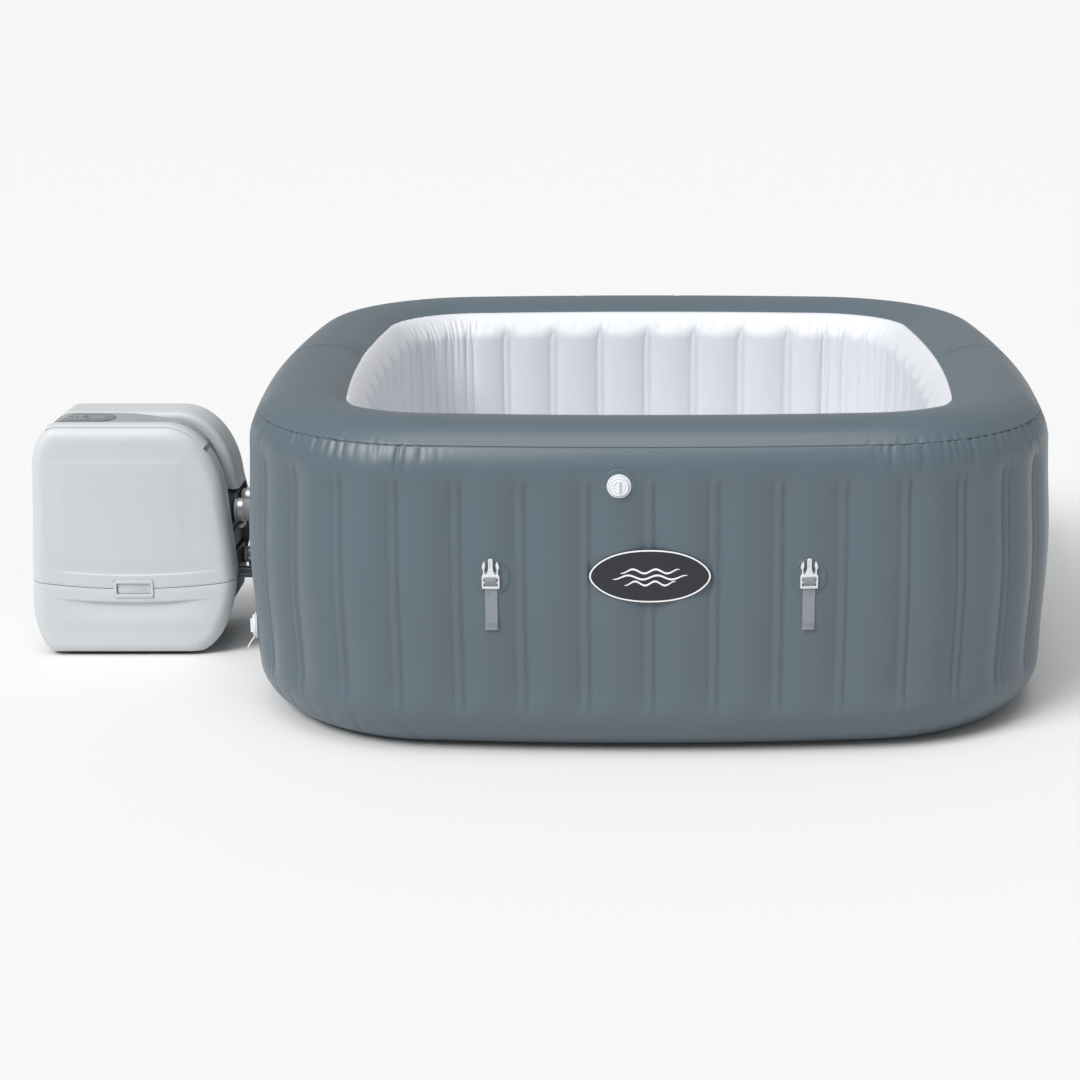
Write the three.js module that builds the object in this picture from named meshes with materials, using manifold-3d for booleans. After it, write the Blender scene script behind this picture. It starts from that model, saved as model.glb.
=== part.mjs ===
// Square inflatable hot tub with its heater and pump unit, in millimetres, +Z up.
// The origin is the centre of the tub's footprint, on the ground. The tub's front faces -Y, and
// the pump unit stands at its -X side, joined to it by four short hose connections.
import * as THREE from "three";
import { mergeVertices } from "three/addons/utils/BufferGeometryUtils.js";
import Module from "manifold-3d";

// Tub
const TUB_HALF = 900; // half the outside width, at the middle of a side
const TUB_HEIGHT = 698;
const WALL = 265; // thickness of the inflated wall
const SIDE_RADIUS = 5000; // each side bows outwards a little
const CORNER_RADIUS = 448;
const SWELL = 10; // the outside wall stands this much further out at its middle height
const CREST = 119; // from the outside, the highest line of the rounded top
const TOP_RISE = 115; // of the top's outer part
const INNER_RISE = 92; // of its inner part
const FOOT_RADIUS = 119; // the rounded foot of the outside wall
const OUTER_SEAM = THREE.MathUtils.degToRad(39); // round the top, from the outside wall
const INNER_SEAM = THREE.MathUtils.degToRad(134);
const SKIN = 3;
const GAP = 0.4; // left between touching pieces
const SEAM_GAP = GAP / TOP_RISE;
const FLOOR_INSET = WALL - 15; // where the floor sheet meets the outside wall
const SIDE_STEPS = 4;
const CORNER_STEPS = 7;

// Cover straps, on the walls
const STRAP_SPACING = 321; // from the middle of a side
const STRAP_TOP = 392;
const STRAP_BOTTOM = 282;
const STRAP_WIDTH = 26;
const STRAP_THICK = 1.6;
const BUCKLE_PIVOT = 371; // the buckle's lower bar, which it swings on
const BUCKLE_WIDTH = 36;
const BUCKLE_THICK = 5;

// Pump unit, whose own x runs from its left side
const PUMP_X = -1444;
const CASE_WIDTH = 478;
const CASE_HEIGHT = 548;
const CASE_FRONT = -200;
const FRONT_BACK = -135; // where the front cover ends
const REAR_FRONT = -20; // where the rear cover starts
const REAR_BACK = 115;
const CASE_SKIN = 3.5;
const FRAME_INSET = 28; // the channel between the covers
const LID_ENDS = [58, 424];
const LID_FRONT = -165; // its lip reaches over the front cover to here
const LID_LOW = 480;
const BASE_THICK = 10;
const SPLIT_HEIGHT = 166; // between the front and the lower cover
const LATCH_X = 242;
const LATCH_SIZE = [92, 42];
const LATCH_WINDOW = [79, 26];
const PORT_FACE = 459; // outside face of the port plate
const DECK = CASE_HEIGHT;

// The four connections, along X: across, up, hose radius, place of the clamp, through to the inside
const LINES = [
  { name: "outlet", y: -52, z: 318, radius: 28, clampX: -968, through: true },
  { name: "inlet", y: 52, z: 318, radius: 28, clampX: -966, through: true },
  { name: "jet", y: 52, z: 180, radius: 20, clampX: -967, through: false },
  { name: "air", y: -52, z: 166, radius: 14, clampX: -922, through: false },
];
const SPIGOT_END = -950;
const SLEEVE_ENDS = [-984, -910];
const STUB_END = -940;

const COLOURS = {
  outer: { color: 0x5d6c76, roughness: 0.5 },
  liner: { color: 0xe8eaec, roughness: 0.45 },
  casing: { color: 0xc9ccd0, roughness: 0.45 },
  panel: { color: 0x6b7275, roughness: 0.35 },
  black: { color: 0x141413, roughness: 0.6 },
  steel: { color: 0xc8c9ca, roughness: 0.25, metalness: 1 },
  cuff: { color: 0xa9adb0, roughness: 0.6 },
  webbing: { color: 0x9b9da2, roughness: 0.9 },
  buckle: { color: 0xd5d8da, roughness: 0.4 },
  clear: { color: 0xe4e7ea, roughness: 0.3 },
  badge: { color: 0x32353b, roughness: 0.4 },
  hose: { color: 0x4f525c, roughness: 0.3 },
  paper: { color: 0xe6e6e0, roughness: 0.9 },
  board: { color: 0x2f6b3c, roughness: 0.6 },
};

const wasm = await Module();
wasm.setup();

// ---- Helpers ----

function toSolid(geometry) {
  const plain = new THREE.BufferGeometry();
  plain.setAttribute("position", geometry.getAttribute("position"));
  plain.setIndex(geometry.index);
  const merged = mergeVertices(plain, 1e-3);
  const solid = new wasm.Manifold(
    new wasm.Mesh({
      numProp: 3,
      vertProperties: new Float32Array(merged.attributes.position.array),
      triVerts: new Uint32Array(merged.index.array),
    }),
  );
  return solid;
}

function toGeometry(solid) {
  const mesh = solid.getMesh();
  const geometry = new THREE.BufferGeometry();
  geometry.setAttribute("position", new THREE.BufferAttribute(mesh.vertProperties, 3));
  geometry.setIndex(new THREE.BufferAttribute(mesh.triVerts, 1));
  return geometry;
}

const cut = (geometry, ...tools) =>
  toGeometry(tools.reduce((solid, tool) => solid.subtract(toSolid(tool)), toSolid(geometry)));

const join = (geometry, ...others) =>
  toGeometry(others.reduce((solid, other) => solid.add(toSolid(other)), toSolid(geometry)));

const common = (geometry, other) => toGeometry(toSolid(geometry).intersect(toSolid(other)));

// A box between two corners.
function box(low, high) {
  const size = high.map((value, i) => value - low[i]);
  return new THREE.BoxGeometry(...size).translate(...high.map((value, i) => (value + low[i]) / 2));
}

// A solid of revolution about Y, from a closed outline of [radius, y], anticlockwise.
function revolve(outline, segments = 16) {
  const points = [...outline, outline[0]].map(([radius, y]) => new THREE.Vector2(radius, y));
  return new THREE.LatheGeometry(points, segments);
}

const rod = (radius, start, end, segments = 16) =>
  revolve([[0, start], [radius, start], [radius, end], [0, end]], segments);

const tube = (inner, outer, start, end, segments = 16) =>
  revolve([[inner, start], [outer, start], [outer, end], [inner, end]], segments);

// Geometry about Y turned to lie along X, or to stand along Z.
const alongX = (geometry) => geometry.rotateZ(-Math.PI / 2);
const alongZ = (geometry) => geometry.rotateX(Math.PI / 2);

// A shape in the XZ plane, made solid from one y to another.
function slab(shape, fromY, toY, bevel = 0) {
  const geometry = new THREE.ExtrudeGeometry(shape, {
    depth: toY - fromY - 2 * bevel,
    curveSegments: 5,
    bevelEnabled: bevel > 0,
    bevelThickness: bevel,
    bevelSize: bevel,
    bevelOffset: -bevel,
    bevelSegments: 3,
  });
  return geometry.rotateX(Math.PI / 2).translate(0, toY - bevel, 0);
}

function rectangle(width, height, radius) {
  const [w, h] = [width / 2, height / 2];
  const shape = new THREE.Shape();
  shape.moveTo(-w + radius, -h);
  shape.lineTo(w - radius, -h);
  shape.absarc(w - radius, -h + radius, radius, -Math.PI / 2, 0);
  shape.lineTo(w, h - radius);
  shape.absarc(w - radius, h - radius, radius, 0, Math.PI / 2);
  shape.lineTo(-w + radius, h);
  shape.absarc(-w + radius, h - radius, radius, Math.PI / 2, Math.PI);
  shape.lineTo(-w, -h + radius);
  shape.absarc(-w + radius, -h + radius, radius, Math.PI, 1.5 * Math.PI);
  return shape;
}

function piece(name, geometry, look, parent) {
  const mesh = new THREE.Mesh(geometry, new THREE.MeshStandardMaterial(COLOURS[look]));
  mesh.name = name;
  parent.add(mesh);
  return mesh;
}

// ---- The tub's outline ----

const CORNER_CENTRE = (() => {
  const back = SIDE_RADIUS - TUB_HALF;
  const reach = SIDE_RADIUS - CORNER_RADIUS;
  return (-back + Math.sqrt(2 * reach * reach - back * back)) / 2;
})();
const SIDE_ANGLE = Math.atan2(CORNER_CENTRE, SIDE_RADIUS - TUB_HALF + CORNER_CENTRE);

// A place on the outline, where its normal has turned by an angle from -Y.
function outlinePlace(angle) {
  const turns = Math.floor((angle + SIDE_ANGLE) / (Math.PI / 2));
  const local = angle - (turns * Math.PI) / 2;
  const onSide = local <= SIDE_ANGLE;
  const centre = onSide ? [0, SIDE_RADIUS - TUB_HALF] : [CORNER_CENTRE, -CORNER_CENTRE];
  const radius = onSide ? SIDE_RADIUS : CORNER_RADIUS;
  const normal = new THREE.Vector2(Math.sin(local), -Math.cos(local));
  const place = new THREE.Vector2(...centre).addScaledVector(normal, radius);
  const quarter = (turns * Math.PI) / 2;
  const origin = new THREE.Vector2();
  return { place: place.rotateAround(origin, quarter), normal: normal.rotateAround(origin, quarter) };
}

function outlineStations() {
  const stations = [];
  for (let side = 0; side < 4; side++) {
    const start = (side * Math.PI) / 2;
    for (let i = 0; i < SIDE_STEPS; i++)
      stations.push(outlinePlace(start - SIDE_ANGLE + (2 * SIDE_ANGLE * (i + 0.001)) / SIDE_STEPS));
    for (let i = 0; i < CORNER_STEPS; i++)
      stations.push(outlinePlace(start + SIDE_ANGLE + ((Math.PI / 2 - 2 * SIDE_ANGLE) * (i + 0.001)) / CORNER_STEPS));
  }
  return stations;
}

const STATIONS = outlineStations();

// Sweeps a closed section of [inset, z] round the outline. The section runs anticlockwise
// when it is seen with the outside of the tub to the right.
function ring(section) {
  const positions = [];
  for (const { place, normal } of STATIONS)
    for (const [inset, z] of section)
      positions.push(place.x - normal.x * inset, place.y - normal.y * inset, z);
  const index = [];
  const rows = STATIONS.length;
  const columns = section.length;
  for (let row = 0; row < rows; row++)
    for (let column = 0; column < columns; column++) {
      const a = row * columns + column;
      const b = ((row + 1) % rows) * columns + column;
      const c = ((row + 1) % rows) * columns + ((column + 1) % columns);
      const d = row * columns + ((column + 1) % columns);
      index.push(a, b, c, a, c, d);
    }
  const geometry = new THREE.BufferGeometry();
  geometry.setAttribute("position", new THREE.Float32BufferAttribute(positions, 3));
  geometry.setIndex(index);
  return geometry;
}

// The closed section of a skin, from the line of its outside face. The line's first and last
// points lie beyond its ends, and only give its direction there.
function skinSection(line) {
  const outside = line.slice(1, -1);
  const inside = outside.map(([inset, z], i) => {
    const along = new THREE.Vector2(line[i][0] - line[i + 2][0], line[i + 2][1] - line[i][1]).normalize();
    return [inset + along.y * SKIN, z + along.x * SKIN];
  });
  return [...outside, ...inside.reverse()];
}

// A point of the rounded top, by its angle from the outside wall.
function topPoint(angle) {
  const outer = angle < Math.PI / 2;
  const rise = outer ? TOP_RISE : INNER_RISE;
  const reach = outer ? CREST - SWELL : WALL - CREST;
  return [CREST - reach * Math.cos(angle), TUB_HEIGHT - rise + rise * Math.sin(angle)];
}

// How far in from the outline the outside wall is, between its foot and its rounded top.
function wallInset(z) {
  const half = (TUB_HEIGHT - TOP_RISE - FOOT_RADIUS) / 2;
  const share = Math.min(Math.abs(z - FOOT_RADIUS - half) / half, 1);
  return (SWELL / 2) * (1 - Math.cos(Math.PI * share));
}

// Points at even angles, with one more beyond the last.
function arcLine(point, from, to, steps) {
  return Array.from({ length: steps + 2 }, (_, i) => point(from + ((to - from) * i) / steps));
}

// ---- The tub's skins ----

// A cutter for a hole through a wall at a place on it.
function wallHole(radius, { x, y, z, turn }, depth) {
  return alongX(rod(radius, -depth, depth)).rotateZ(turn).translate(x, y, z);
}

function outerWall(holes) {
  const foot = (angle) => [SWELL + FOOT_RADIUS * (1 - Math.sin(angle)), FOOT_RADIUS * (1 - Math.cos(angle))];
  const tall = TUB_HEIGHT - TOP_RISE - FOOT_RADIUS;
  const line = [
    [WALL, 0],
    [FLOOR_INSET, 0],
    ...arcLine(foot, 0, Math.PI / 2, 4).slice(0, -1),
    ...[0.25, 0.5, 0.75].map((share) => FOOT_RADIUS + tall * share).map((z) => [wallInset(z), z]),
    ...arcLine(topPoint, 0, OUTER_SEAM - SEAM_GAP, 2),
  ];
  return cut(ring(skinSection(line)), ...holes);
}

function topPanel() {
  const step = (INNER_SEAM - OUTER_SEAM) / 6;
  return ring(skinSection(arcLine(topPoint, OUTER_SEAM - step, INNER_SEAM, 7)));
}

function linerWall(holes) {
  const toe = 28;
  const hem = 2 * SKIN + GAP; // it ends lying on the floor sheet
  const foot = (angle) => [WALL + toe * (1 - Math.cos(angle)), hem + toe * (1 - Math.sin(angle))];
  const start = INNER_SEAM + SEAM_GAP;
  const step = (Math.PI - start) / 3;
  const line = [
    ...arcLine(topPoint, start - step, Math.PI, 4).slice(0, -1),
    ...arcLine(foot, 0, Math.PI / 2, 3),
  ];
  return cut(ring(skinSection(line)), ...holes);
}

function tubFloor() {
  const edge = FLOOR_INSET + GAP;
  const shape = new THREE.Shape(
    STATIONS.map(({ place, normal }) => place.clone().addScaledVector(normal, -edge)),
  );
  return new THREE.ExtrudeGeometry(shape, { depth: SKIN, bevelEnabled: false });
}

// ---- Fittings on the tub ----

// A group whose y points out of the wall, at a place given by the normal's angle from -Y.
function wallGroup(angle, height, parent, inset = 0) {
  const { place, normal } = outlinePlace(angle);
  const group = new THREE.Group();
  group.position.set(place.x - normal.x * inset, place.y - normal.y * inset, height);
  group.rotation.z = Math.atan2(-normal.x, normal.y);
  parent.add(group);
  return group;
}

const angleAlong = (distance) => Math.asin(distance / SIDE_RADIUS);

// A screw cap over a flanged socket, along +y out of the wall.
function capSocket(name, flange, bore, depth, group) {
  piece(
    `${name}_body`,
    revolve([[bore - 3, -depth], [bore, -depth], [bore, GAP], [flange, GAP], [flange, 3], [bore - 3, 3]], 24),
    "clear",
    group,
  );
  const cap = join(
    revolve([[0, 3 + GAP], [flange - 5, 3 + GAP], [flange - 5, 9], [flange - 9, 12], [0, 12]], 24),
    box([-flange * 0.5, 11, -2], [flange * 0.5, 17, 2]),
  );
  piece(`${name}_cap`, cap, "clear", group);
}

function buckle() {
  const frame = cut(
    box([-BUCKLE_WIDTH / 2, 0, 0], [BUCKLE_WIDTH / 2, BUCKLE_THICK, 27]),
    box([-BUCKLE_WIDTH / 2 + 4, -1, 3], [BUCKLE_WIDTH / 2 - 4, BUCKLE_THICK + 1, 20]),
  );
  const lowerBar = alongX(rod(BUCKLE_THICK / 2, -BUCKLE_WIDTH / 2, BUCKLE_WIDTH / 2))
    .translate(0, BUCKLE_THICK / 2, 0);
  const middleBar = box([-BUCKLE_WIDTH / 2 + 2, 1.5, 10], [BUCKLE_WIDTH / 2 - 2, BUCKLE_THICK - 0.5, 13]);
  const prong = new THREE.Shape();
  prong.moveTo(-9, 26);
  prong.lineTo(9, 26);
  prong.lineTo(4.5, 42);
  prong.lineTo(4.5, 61);
  prong.lineTo(-4.5, 61);
  prong.lineTo(-4.5, 42);
  const arm = (side) => {
    const shape = new THREE.Shape();
    shape.moveTo(side * 12, 26);
    shape.lineTo(side * 15, 26);
    shape.lineTo(side * 15, 37);
    shape.lineTo(side * 17.5, 41);
    shape.quadraticCurveTo(side * 17, 50, side * 12, 54);
    shape.lineTo(side * 10.5, 46);
    return slab(shape, 0.8, BUCKLE_THICK - 0.8);
  };
  return join(frame, lowerBar, middleBar, slab(prong, 0.8, BUCKLE_THICK - 0.8), arm(-1), arm(1));
}

function coverStrap(name, angle, parent) {
  const group = wallGroup(angle, 0, parent);
  const half = STRAP_WIDTH / 2;
  const strap = join(
    box([-half, GAP, STRAP_BOTTOM], [half, GAP + STRAP_THICK, STRAP_TOP]),
    box([-half, GAP, STRAP_BOTTOM], [half, GAP + 2 * STRAP_THICK, STRAP_BOTTOM + 11]),
  );
  piece(`strap_${name}`, strap, "webbing", group);
  const swing = piece(`buckle_${name}`, buckle(), "buckle", group);
  swing.position.set(0, 2 * GAP + STRAP_THICK, BUCKLE_PIVOT);
}

function badge() {
  const shape = new THREE.Shape();
  shape.absellipse(0, 0, 124, 55, 0, 2 * Math.PI);
  return slab(shape, GAP, GAP + 2.5);
}

// ---- Hose connections ----

// Each goes out of the pump unit's port plate, through a hose cuff, into a fitting in the wall.
function hoseLine({ name, y, z, radius, clampX, through }, parent) {
  const group = new THREE.Group();
  group.position.set(0, y, z);
  parent.add(group);
  const bore = radius - 9;
  const pipe = radius - 5;
  const inner = -(TUB_HALF - WALL);
  const flange = radius + 20;
  const face = -TUB_HALF + wallInset(z) - 2;
  const end = through ? inner + 9 : -TUB_HALF + 60;
  const fitting = revolve(
    [[bore, STUB_END], [pipe, STUB_END], [pipe, face - 7], [flange, face - 7], [flange, face], [pipe, face],
      [pipe, end], [bore, end]],
  );
  piece(`wall_fitting_${name}`, alongX(fitting), "clear", group);
  piece(`cuff_${name}`, alongX(tube(pipe + GAP, radius, SLEEVE_ENDS[0], SLEEVE_ENDS[1])),
    name === "air" ? "hose" : "cuff", group);

  const housing = cut(
    box([clampX - 7, -10, -radius - 12], [clampX + 7, 10, -radius - 1.5]),
    rod(3.5, -20, 20, 12).translate(clampX, 0, -radius - 6.5),
  );
  const band = join(alongX(tube(radius + GAP, radius + 2.4, clampX - 7, clampX + 7)), housing);
  piece(`clamp_${name}`, band, "steel", group);
  const screw = join(rod(3, -19, 12, 12), box([-7, -27, -0.8], [7, -18, 0.8]));
  piece(`clamp_screw_${name}`, screw, "steel", group).position.set(clampX, 0, -radius - 6.5);
}

function filter(parent) {
  const { y, z, radius } = LINES[1];
  const bore = radius - 5 + GAP; // it is pushed on the inlet's fitting
  const group = new THREE.Group();
  group.position.set(-(TUB_HALF - WALL) + 4, y, z);
  parent.add(group);
  const cup = revolve([[bore, 0], [60, 0], [60, 88], [56.5, 88], [56.5, 4], [bore, 4]], 24);
  piece("filter_housing", alongX(cup), "clear", group);
  piece("filter_cartridge", alongX(tube(24, 52, 6, 84, 24)), "paper", group);
}

// ---- Pump unit ----

// The casing's outline: x across from the left side, y up from the ground. Its crown and feet are
// quarter ellipses, and its sides lean in towards the crown.
function casingShape({ width, height, footLeft, footRight, crownLeft, crownRight, leanLeft, lean, x = 0, inset = 0 }) {
  const round = 0.5523;
  const blunt = 0.47; // the right foot is cut off more than an ellipse's quarter
  const right = width - lean;
  const shape = new THREE.Shape();
  shape.moveTo(footLeft[0], 0);
  shape.lineTo(width - footRight[0], 0);
  shape.bezierCurveTo(width - footRight[0] * (1 - blunt), 0, width, footRight[1] * (1 - blunt), width, footRight[1]);
  shape.lineTo(right, height - crownRight[1]);
  shape.bezierCurveTo(right - lean * 0.4, height - crownRight[1] * (1 - round),
    right - crownRight[0] * (1 - round), height, right - crownRight[0], height);
  shape.lineTo(leanLeft + crownLeft[0], height);
  shape.bezierCurveTo(leanLeft + crownLeft[0] * (1 - round), height, leanLeft, height - crownLeft[1] * (1 - round),
    leanLeft, height - crownLeft[1]);
  shape.lineTo(0, footLeft[1]);
  shape.bezierCurveTo(0, footLeft[1] * (1 - round), footLeft[0] * (1 - round), 0, footLeft[0], 0);
  // Insetting shrinks it about its own centre.
  const scale = [(width - 2 * inset) / width, (height - 2 * inset) / height];
  return new THREE.Shape(
    shape.getPoints(5).map((p) => new THREE.Vector2(x + inset + p.x * scale[0], inset + p.y * scale[1])),
  );
}

const CASE = {
  width: CASE_WIDTH, height: CASE_HEIGHT, leanLeft: 18, lean: 17,
  footLeft: [60, 110], footRight: [113, 165], crownLeft: [60, 100], crownRight: [137, 165],
};
const REAR = { ...CASE, footRight: [160, 300] }; // its right foot is drawn in more
const FAR = 1000; // longer than any piece

const below = (z) => box([-FAR, -FAR, -FAR], [FAR, FAR, z]);
const above = (z) => box([-FAR, -FAR, z], [FAR, FAR, FAR]);
const behind = (y) => box([-FAR, y, -FAR], [FAR, FAR, FAR]);

function frontShell() {
  const outside = slab(casingShape(CASE), CASE_FRONT, FRONT_BACK + 40, 30);
  const inside = slab(casingShape({ ...CASE, inset: CASE_SKIN }), CASE_FRONT + CASE_SKIN, FRONT_BACK + 60, 28);
  const lidNotch = box([LID_ENDS[0] - GAP, LID_FRONT - GAP, LID_LOW - GAP], [LID_ENDS[1] + GAP, FAR, FAR]);
  return cut(outside, inside, behind(FRONT_BACK), below(BASE_THICK), lidNotch);
}

const latchOpening = (grow) =>
  box(
    [LATCH_X - LATCH_SIZE[0] / 2 - grow, -FAR, SPLIT_HEIGHT - LATCH_SIZE[1] / 2 - grow],
    [LATCH_X + LATCH_SIZE[0] / 2 + grow, CASE_FRONT + 20, SPLIT_HEIGHT + LATCH_SIZE[1] / 2 + grow],
  );

function rearCover() {
  const outside = slab(casingShape(REAR), REAR_FRONT, REAR_BACK, 32);
  const inside = slab(casingShape({ ...REAR, inset: CASE_SKIN }), REAR_FRONT + CASE_SKIN, REAR_BACK - CASE_SKIN, 30);
  const mouth = slab(casingShape({ ...REAR, inset: FRAME_INSET + CASE_SKIN }), REAR_FRONT - 20, REAR_FRONT + 20);
  const portWindow = box([PORT_FACE - 54, REAR_FRONT - 1, 96], [FAR, 88, 362]);
  return cut(outside, inside, mouth, portWindow, below(BASE_THICK));
}

function innerFrame() {
  const [from, to] = [FRONT_BACK + GAP, REAR_FRONT - GAP];
  const channel = cut(
    slab(casingShape({ ...CASE, inset: FRAME_INSET }), from, to),
    slab(casingShape({ ...CASE, inset: FRAME_INSET + CASE_SKIN }), from - 1, to + 1),
    box([FAR / 3, -FAR, 96], [FAR, FAR, 362]),
  );
  // At the left the channel is filled, flush with the covers.
  const cheek = common(
    cut(slab(casingShape(CASE), from, to), slab(casingShape({ ...CASE, inset: FRAME_INSET + 1 }), from - 1, to + 1)),
    box([-FAR, -FAR, -FAR], [LID_ENDS[0] - GAP, FAR, FAR]),
  );
  return cut(join(channel, cheek), below(BASE_THICK));
}

function portPlate() {
  const plate = cut(
    box([PORT_FACE - 40, FRONT_BACK + 14, 100], [PORT_FACE, 84, 358]),
    box([PORT_FACE - 44, FRONT_BACK + 18, 104], [PORT_FACE - 4, 80, 354]),
  );
  const spigots = LINES.map(({ y, z, radius }) =>
    alongX(rod(radius - 5, PORT_FACE - 6, SPIGOT_END - PUMP_X - 8)).translate(0, y, z),
  );
  const bores = LINES.map(({ y, z, radius }) => alongX(rod(radius - 9, 380, 600)).translate(0, y, z));
  return cut(join(plate, ...spigots), ...bores);
}

function baseTray() {
  const shape = rectangle(350, 270, 40);
  const tray = new THREE.ExtrudeGeometry(shape, { depth: BASE_THICK - GAP, bevelEnabled: false, curveSegments: 4 });
  return tray.translate(240, -42, 0);
}

function topLid(panelPocket) {
  const whole = cut(
    slab(casingShape(CASE), LID_FRONT, REAR_FRONT - GAP),
    slab(casingShape({ ...CASE, inset: FRAME_INSET - GAP }), LID_FRONT - 1, REAR_FRONT + 1),
  );
  return cut(common(whole, box([LID_ENDS[0], -FAR, LID_LOW], [LID_ENDS[1], FAR, FAR])), panelPocket);
}

// The control panel's outline on the deck: slanted at its left end, rounded at its right.
function panelShape(grow) {
  const shape = new THREE.Shape();
  shape.moveTo(70 - grow, -122 - grow);
  shape.lineTo(160, -122 - grow);
  shape.bezierCurveTo(182, -122 - grow, 196 + grow, -100, 196 + grow, -78);
  shape.bezierCurveTo(196 + grow, -56, 182, -34 + grow, 160, -34 + grow);
  shape.lineTo(90 - grow, -34 + grow);
  return shape;
}

const BUTTONS = [
  ["power", 96], ["heat", 118], ["bubbles", 140], ["jets", 162],
];
const BUTTON_Y = -106;
const BUTTON_RADIUS = 5;

function controlPanel() {
  const plate = new THREE.ExtrudeGeometry(panelShape(0), { depth: 4, bevelEnabled: false, curveSegments: 5 });
  const holes = BUTTONS.map(([, x]) => alongZ(rod(BUTTON_RADIUS + GAP, -20, 20, 12)).translate(x, BUTTON_Y, 0));
  return cut(plate, ...holes);
}

function latch(parent) {
  const at = [LATCH_X, 0, SPLIT_HEIGHT];
  const bezel = cut(
    slab(rectangle(LATCH_SIZE[0], LATCH_SIZE[1], 6), CASE_FRONT - 2, CASE_FRONT + 16),
    slab(rectangle(LATCH_WINDOW[0], LATCH_WINDOW[1], 3), CASE_FRONT - 6, CASE_FRONT + 12),
    slab(rectangle(LATCH_WINDOW[0] - 16, LATCH_WINDOW[1] - 12, 2), CASE_FRONT + 8, CASE_FRONT + 30),
  );
  piece("latch_bezel", bezel, "casing", parent).position.set(...at);
  const paddle = slab(rectangle(LATCH_WINDOW[0] - 2, LATCH_WINDOW[1] - 2, 2), CASE_FRONT + 3, CASE_FRONT + 6.5);
  piece("latch_paddle", paddle, "casing", parent).position.set(...at);
}

function internals(parent) {
  piece("pump_motor", alongX(rod(44, 0, 130)), "black", parent).position.set(110, -70, 92);
  const volute = revolve([[0, 0], [56, 0], [56, 44], [20, 44], [20, 40], [52, 40], [52, 4], [0, 4]]);
  piece("pump_volute", alongX(volute), "black", parent).position.set(242, -70, 92);
  const hub = rod(10, 0, 26, 12);
  const vane = box([-42, 4, -2], [42, 22, 2]);
  const impeller = join(hub, vane, vane.clone().rotateY(Math.PI / 3), vane.clone().rotateY((2 * Math.PI) / 3));
  piece("impeller", alongX(impeller), "clear", parent).position.set(250, -70, 92);
  piece("heater_tube", alongX(rod(30, 0, 250, 16)), "steel", parent).position.set(100, 70, 250);
  const blower = join(alongZ(rod(60, 0, 80)), alongX(rod(16, 40, 110, 12)).translate(0, 0, 40));
  piece("air_blower", blower, "black", parent).position.set(145, -50, 410);
  piece("control_board", box([0, 0, 0], [110, 60, 8]), "board", parent).position.set(264, -100, 452);
}

function pumpUnit(parent) {
  const unit = new THREE.Group();
  unit.position.x = PUMP_X;
  parent.add(unit);
  const shell = frontShell();
  piece("front_cover", cut(shell, below(SPLIT_HEIGHT + GAP), latchOpening(GAP)), "casing", unit);
  piece("lower_cover", cut(shell, above(SPLIT_HEIGHT - GAP), latchOpening(GAP)), "casing", unit);
  piece("rear_cover", rearCover(), "casing", unit);
  piece("inner_frame", innerFrame(), "casing", unit);
  piece("port_plate", portPlate(), "black", unit);
  piece("base_tray", baseTray(), "black", unit);
  const pocket = new THREE.ExtrudeGeometry(panelShape(GAP), { depth: 20, bevelEnabled: false, curveSegments: 5 });
  piece("top_lid", topLid(pocket.translate(0, 0, DECK - 3.4)), "casing", unit);
  piece("control_panel", controlPanel(), "panel", unit).position.z = DECK - 3;
  for (const [name, x] of BUTTONS)
    piece(`button_${name}`, alongZ(rod(BUTTON_RADIUS, -3.8, 0, 12)), "casing", unit)
      .position.set(x, BUTTON_Y, DECK + 1.4);
  latch(unit);
  internals(unit);
  const gland = revolve([[0, 0], [14, 0], [14, 5], [8, 8], [6, 26], [0, 26]], 16);
  piece("cable_gland", gland, "black", unit).position.set(150, REAR_BACK + GAP, 90);
}

// ---- The whole ----

const spa = new THREE.Group();

const DRAIN = { angle: -Math.PI / 2 + 0.21, height: 178 };
const VALVE = { angle: angleAlong(-62), height: 581 };
const wallPlace = ({ angle, height }) => {
  const { place, normal } = outlinePlace(angle + 2 * Math.PI);
  return { x: place.x, y: place.y, z: height, turn: Math.atan2(normal.y, normal.x) };
};
const lineHole = ({ y, z, radius }, x) => wallHole(radius - 5 + GAP, { x, y, z, turn: 0 }, 40);

piece("outer_wall", outerWall([
  wallHole(20 + GAP, wallPlace(DRAIN), 40),
  wallHole(18 + GAP, wallPlace(VALVE), 40),
  ...LINES.map((line) => lineHole(line, -TUB_HALF)),
]), "outer", spa);
piece("top_panel", topPanel(), "outer", spa);
piece("liner_wall", linerWall(
  LINES.filter((line) => line.through).map((line) => lineHole(line, -(TUB_HALF - WALL))),
), "liner", spa);
piece("tub_floor", tubFloor(), "liner", spa);

capSocket("drain", 32, 20, 40, wallGroup(DRAIN.angle + 2 * Math.PI, DRAIN.height, spa, wallInset(DRAIN.height)));
capSocket("valve", 27, 18, 30, wallGroup(VALVE.angle + 2 * Math.PI, VALVE.height, spa, wallInset(VALVE.height)));
piece("badge", badge(), "badge", wallGroup(2 * Math.PI, 397, spa));

["front", "right", "back"].forEach((side, i) => {
  const facing = (i * Math.PI) / 2 + 2 * Math.PI;
  coverStrap(`${side}_1`, facing - angleAlong(STRAP_SPACING), spa);
  coverStrap(`${side}_2`, facing + angleAlong(STRAP_SPACING), spa);
});

LINES.forEach((line) => hoseLine(line, spa));
filter(spa);
pumpUnit(spa);

export default spa;
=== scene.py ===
import math

import bmesh
import bpy
import numpy as np
from mathutils import Matrix, Vector


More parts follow.
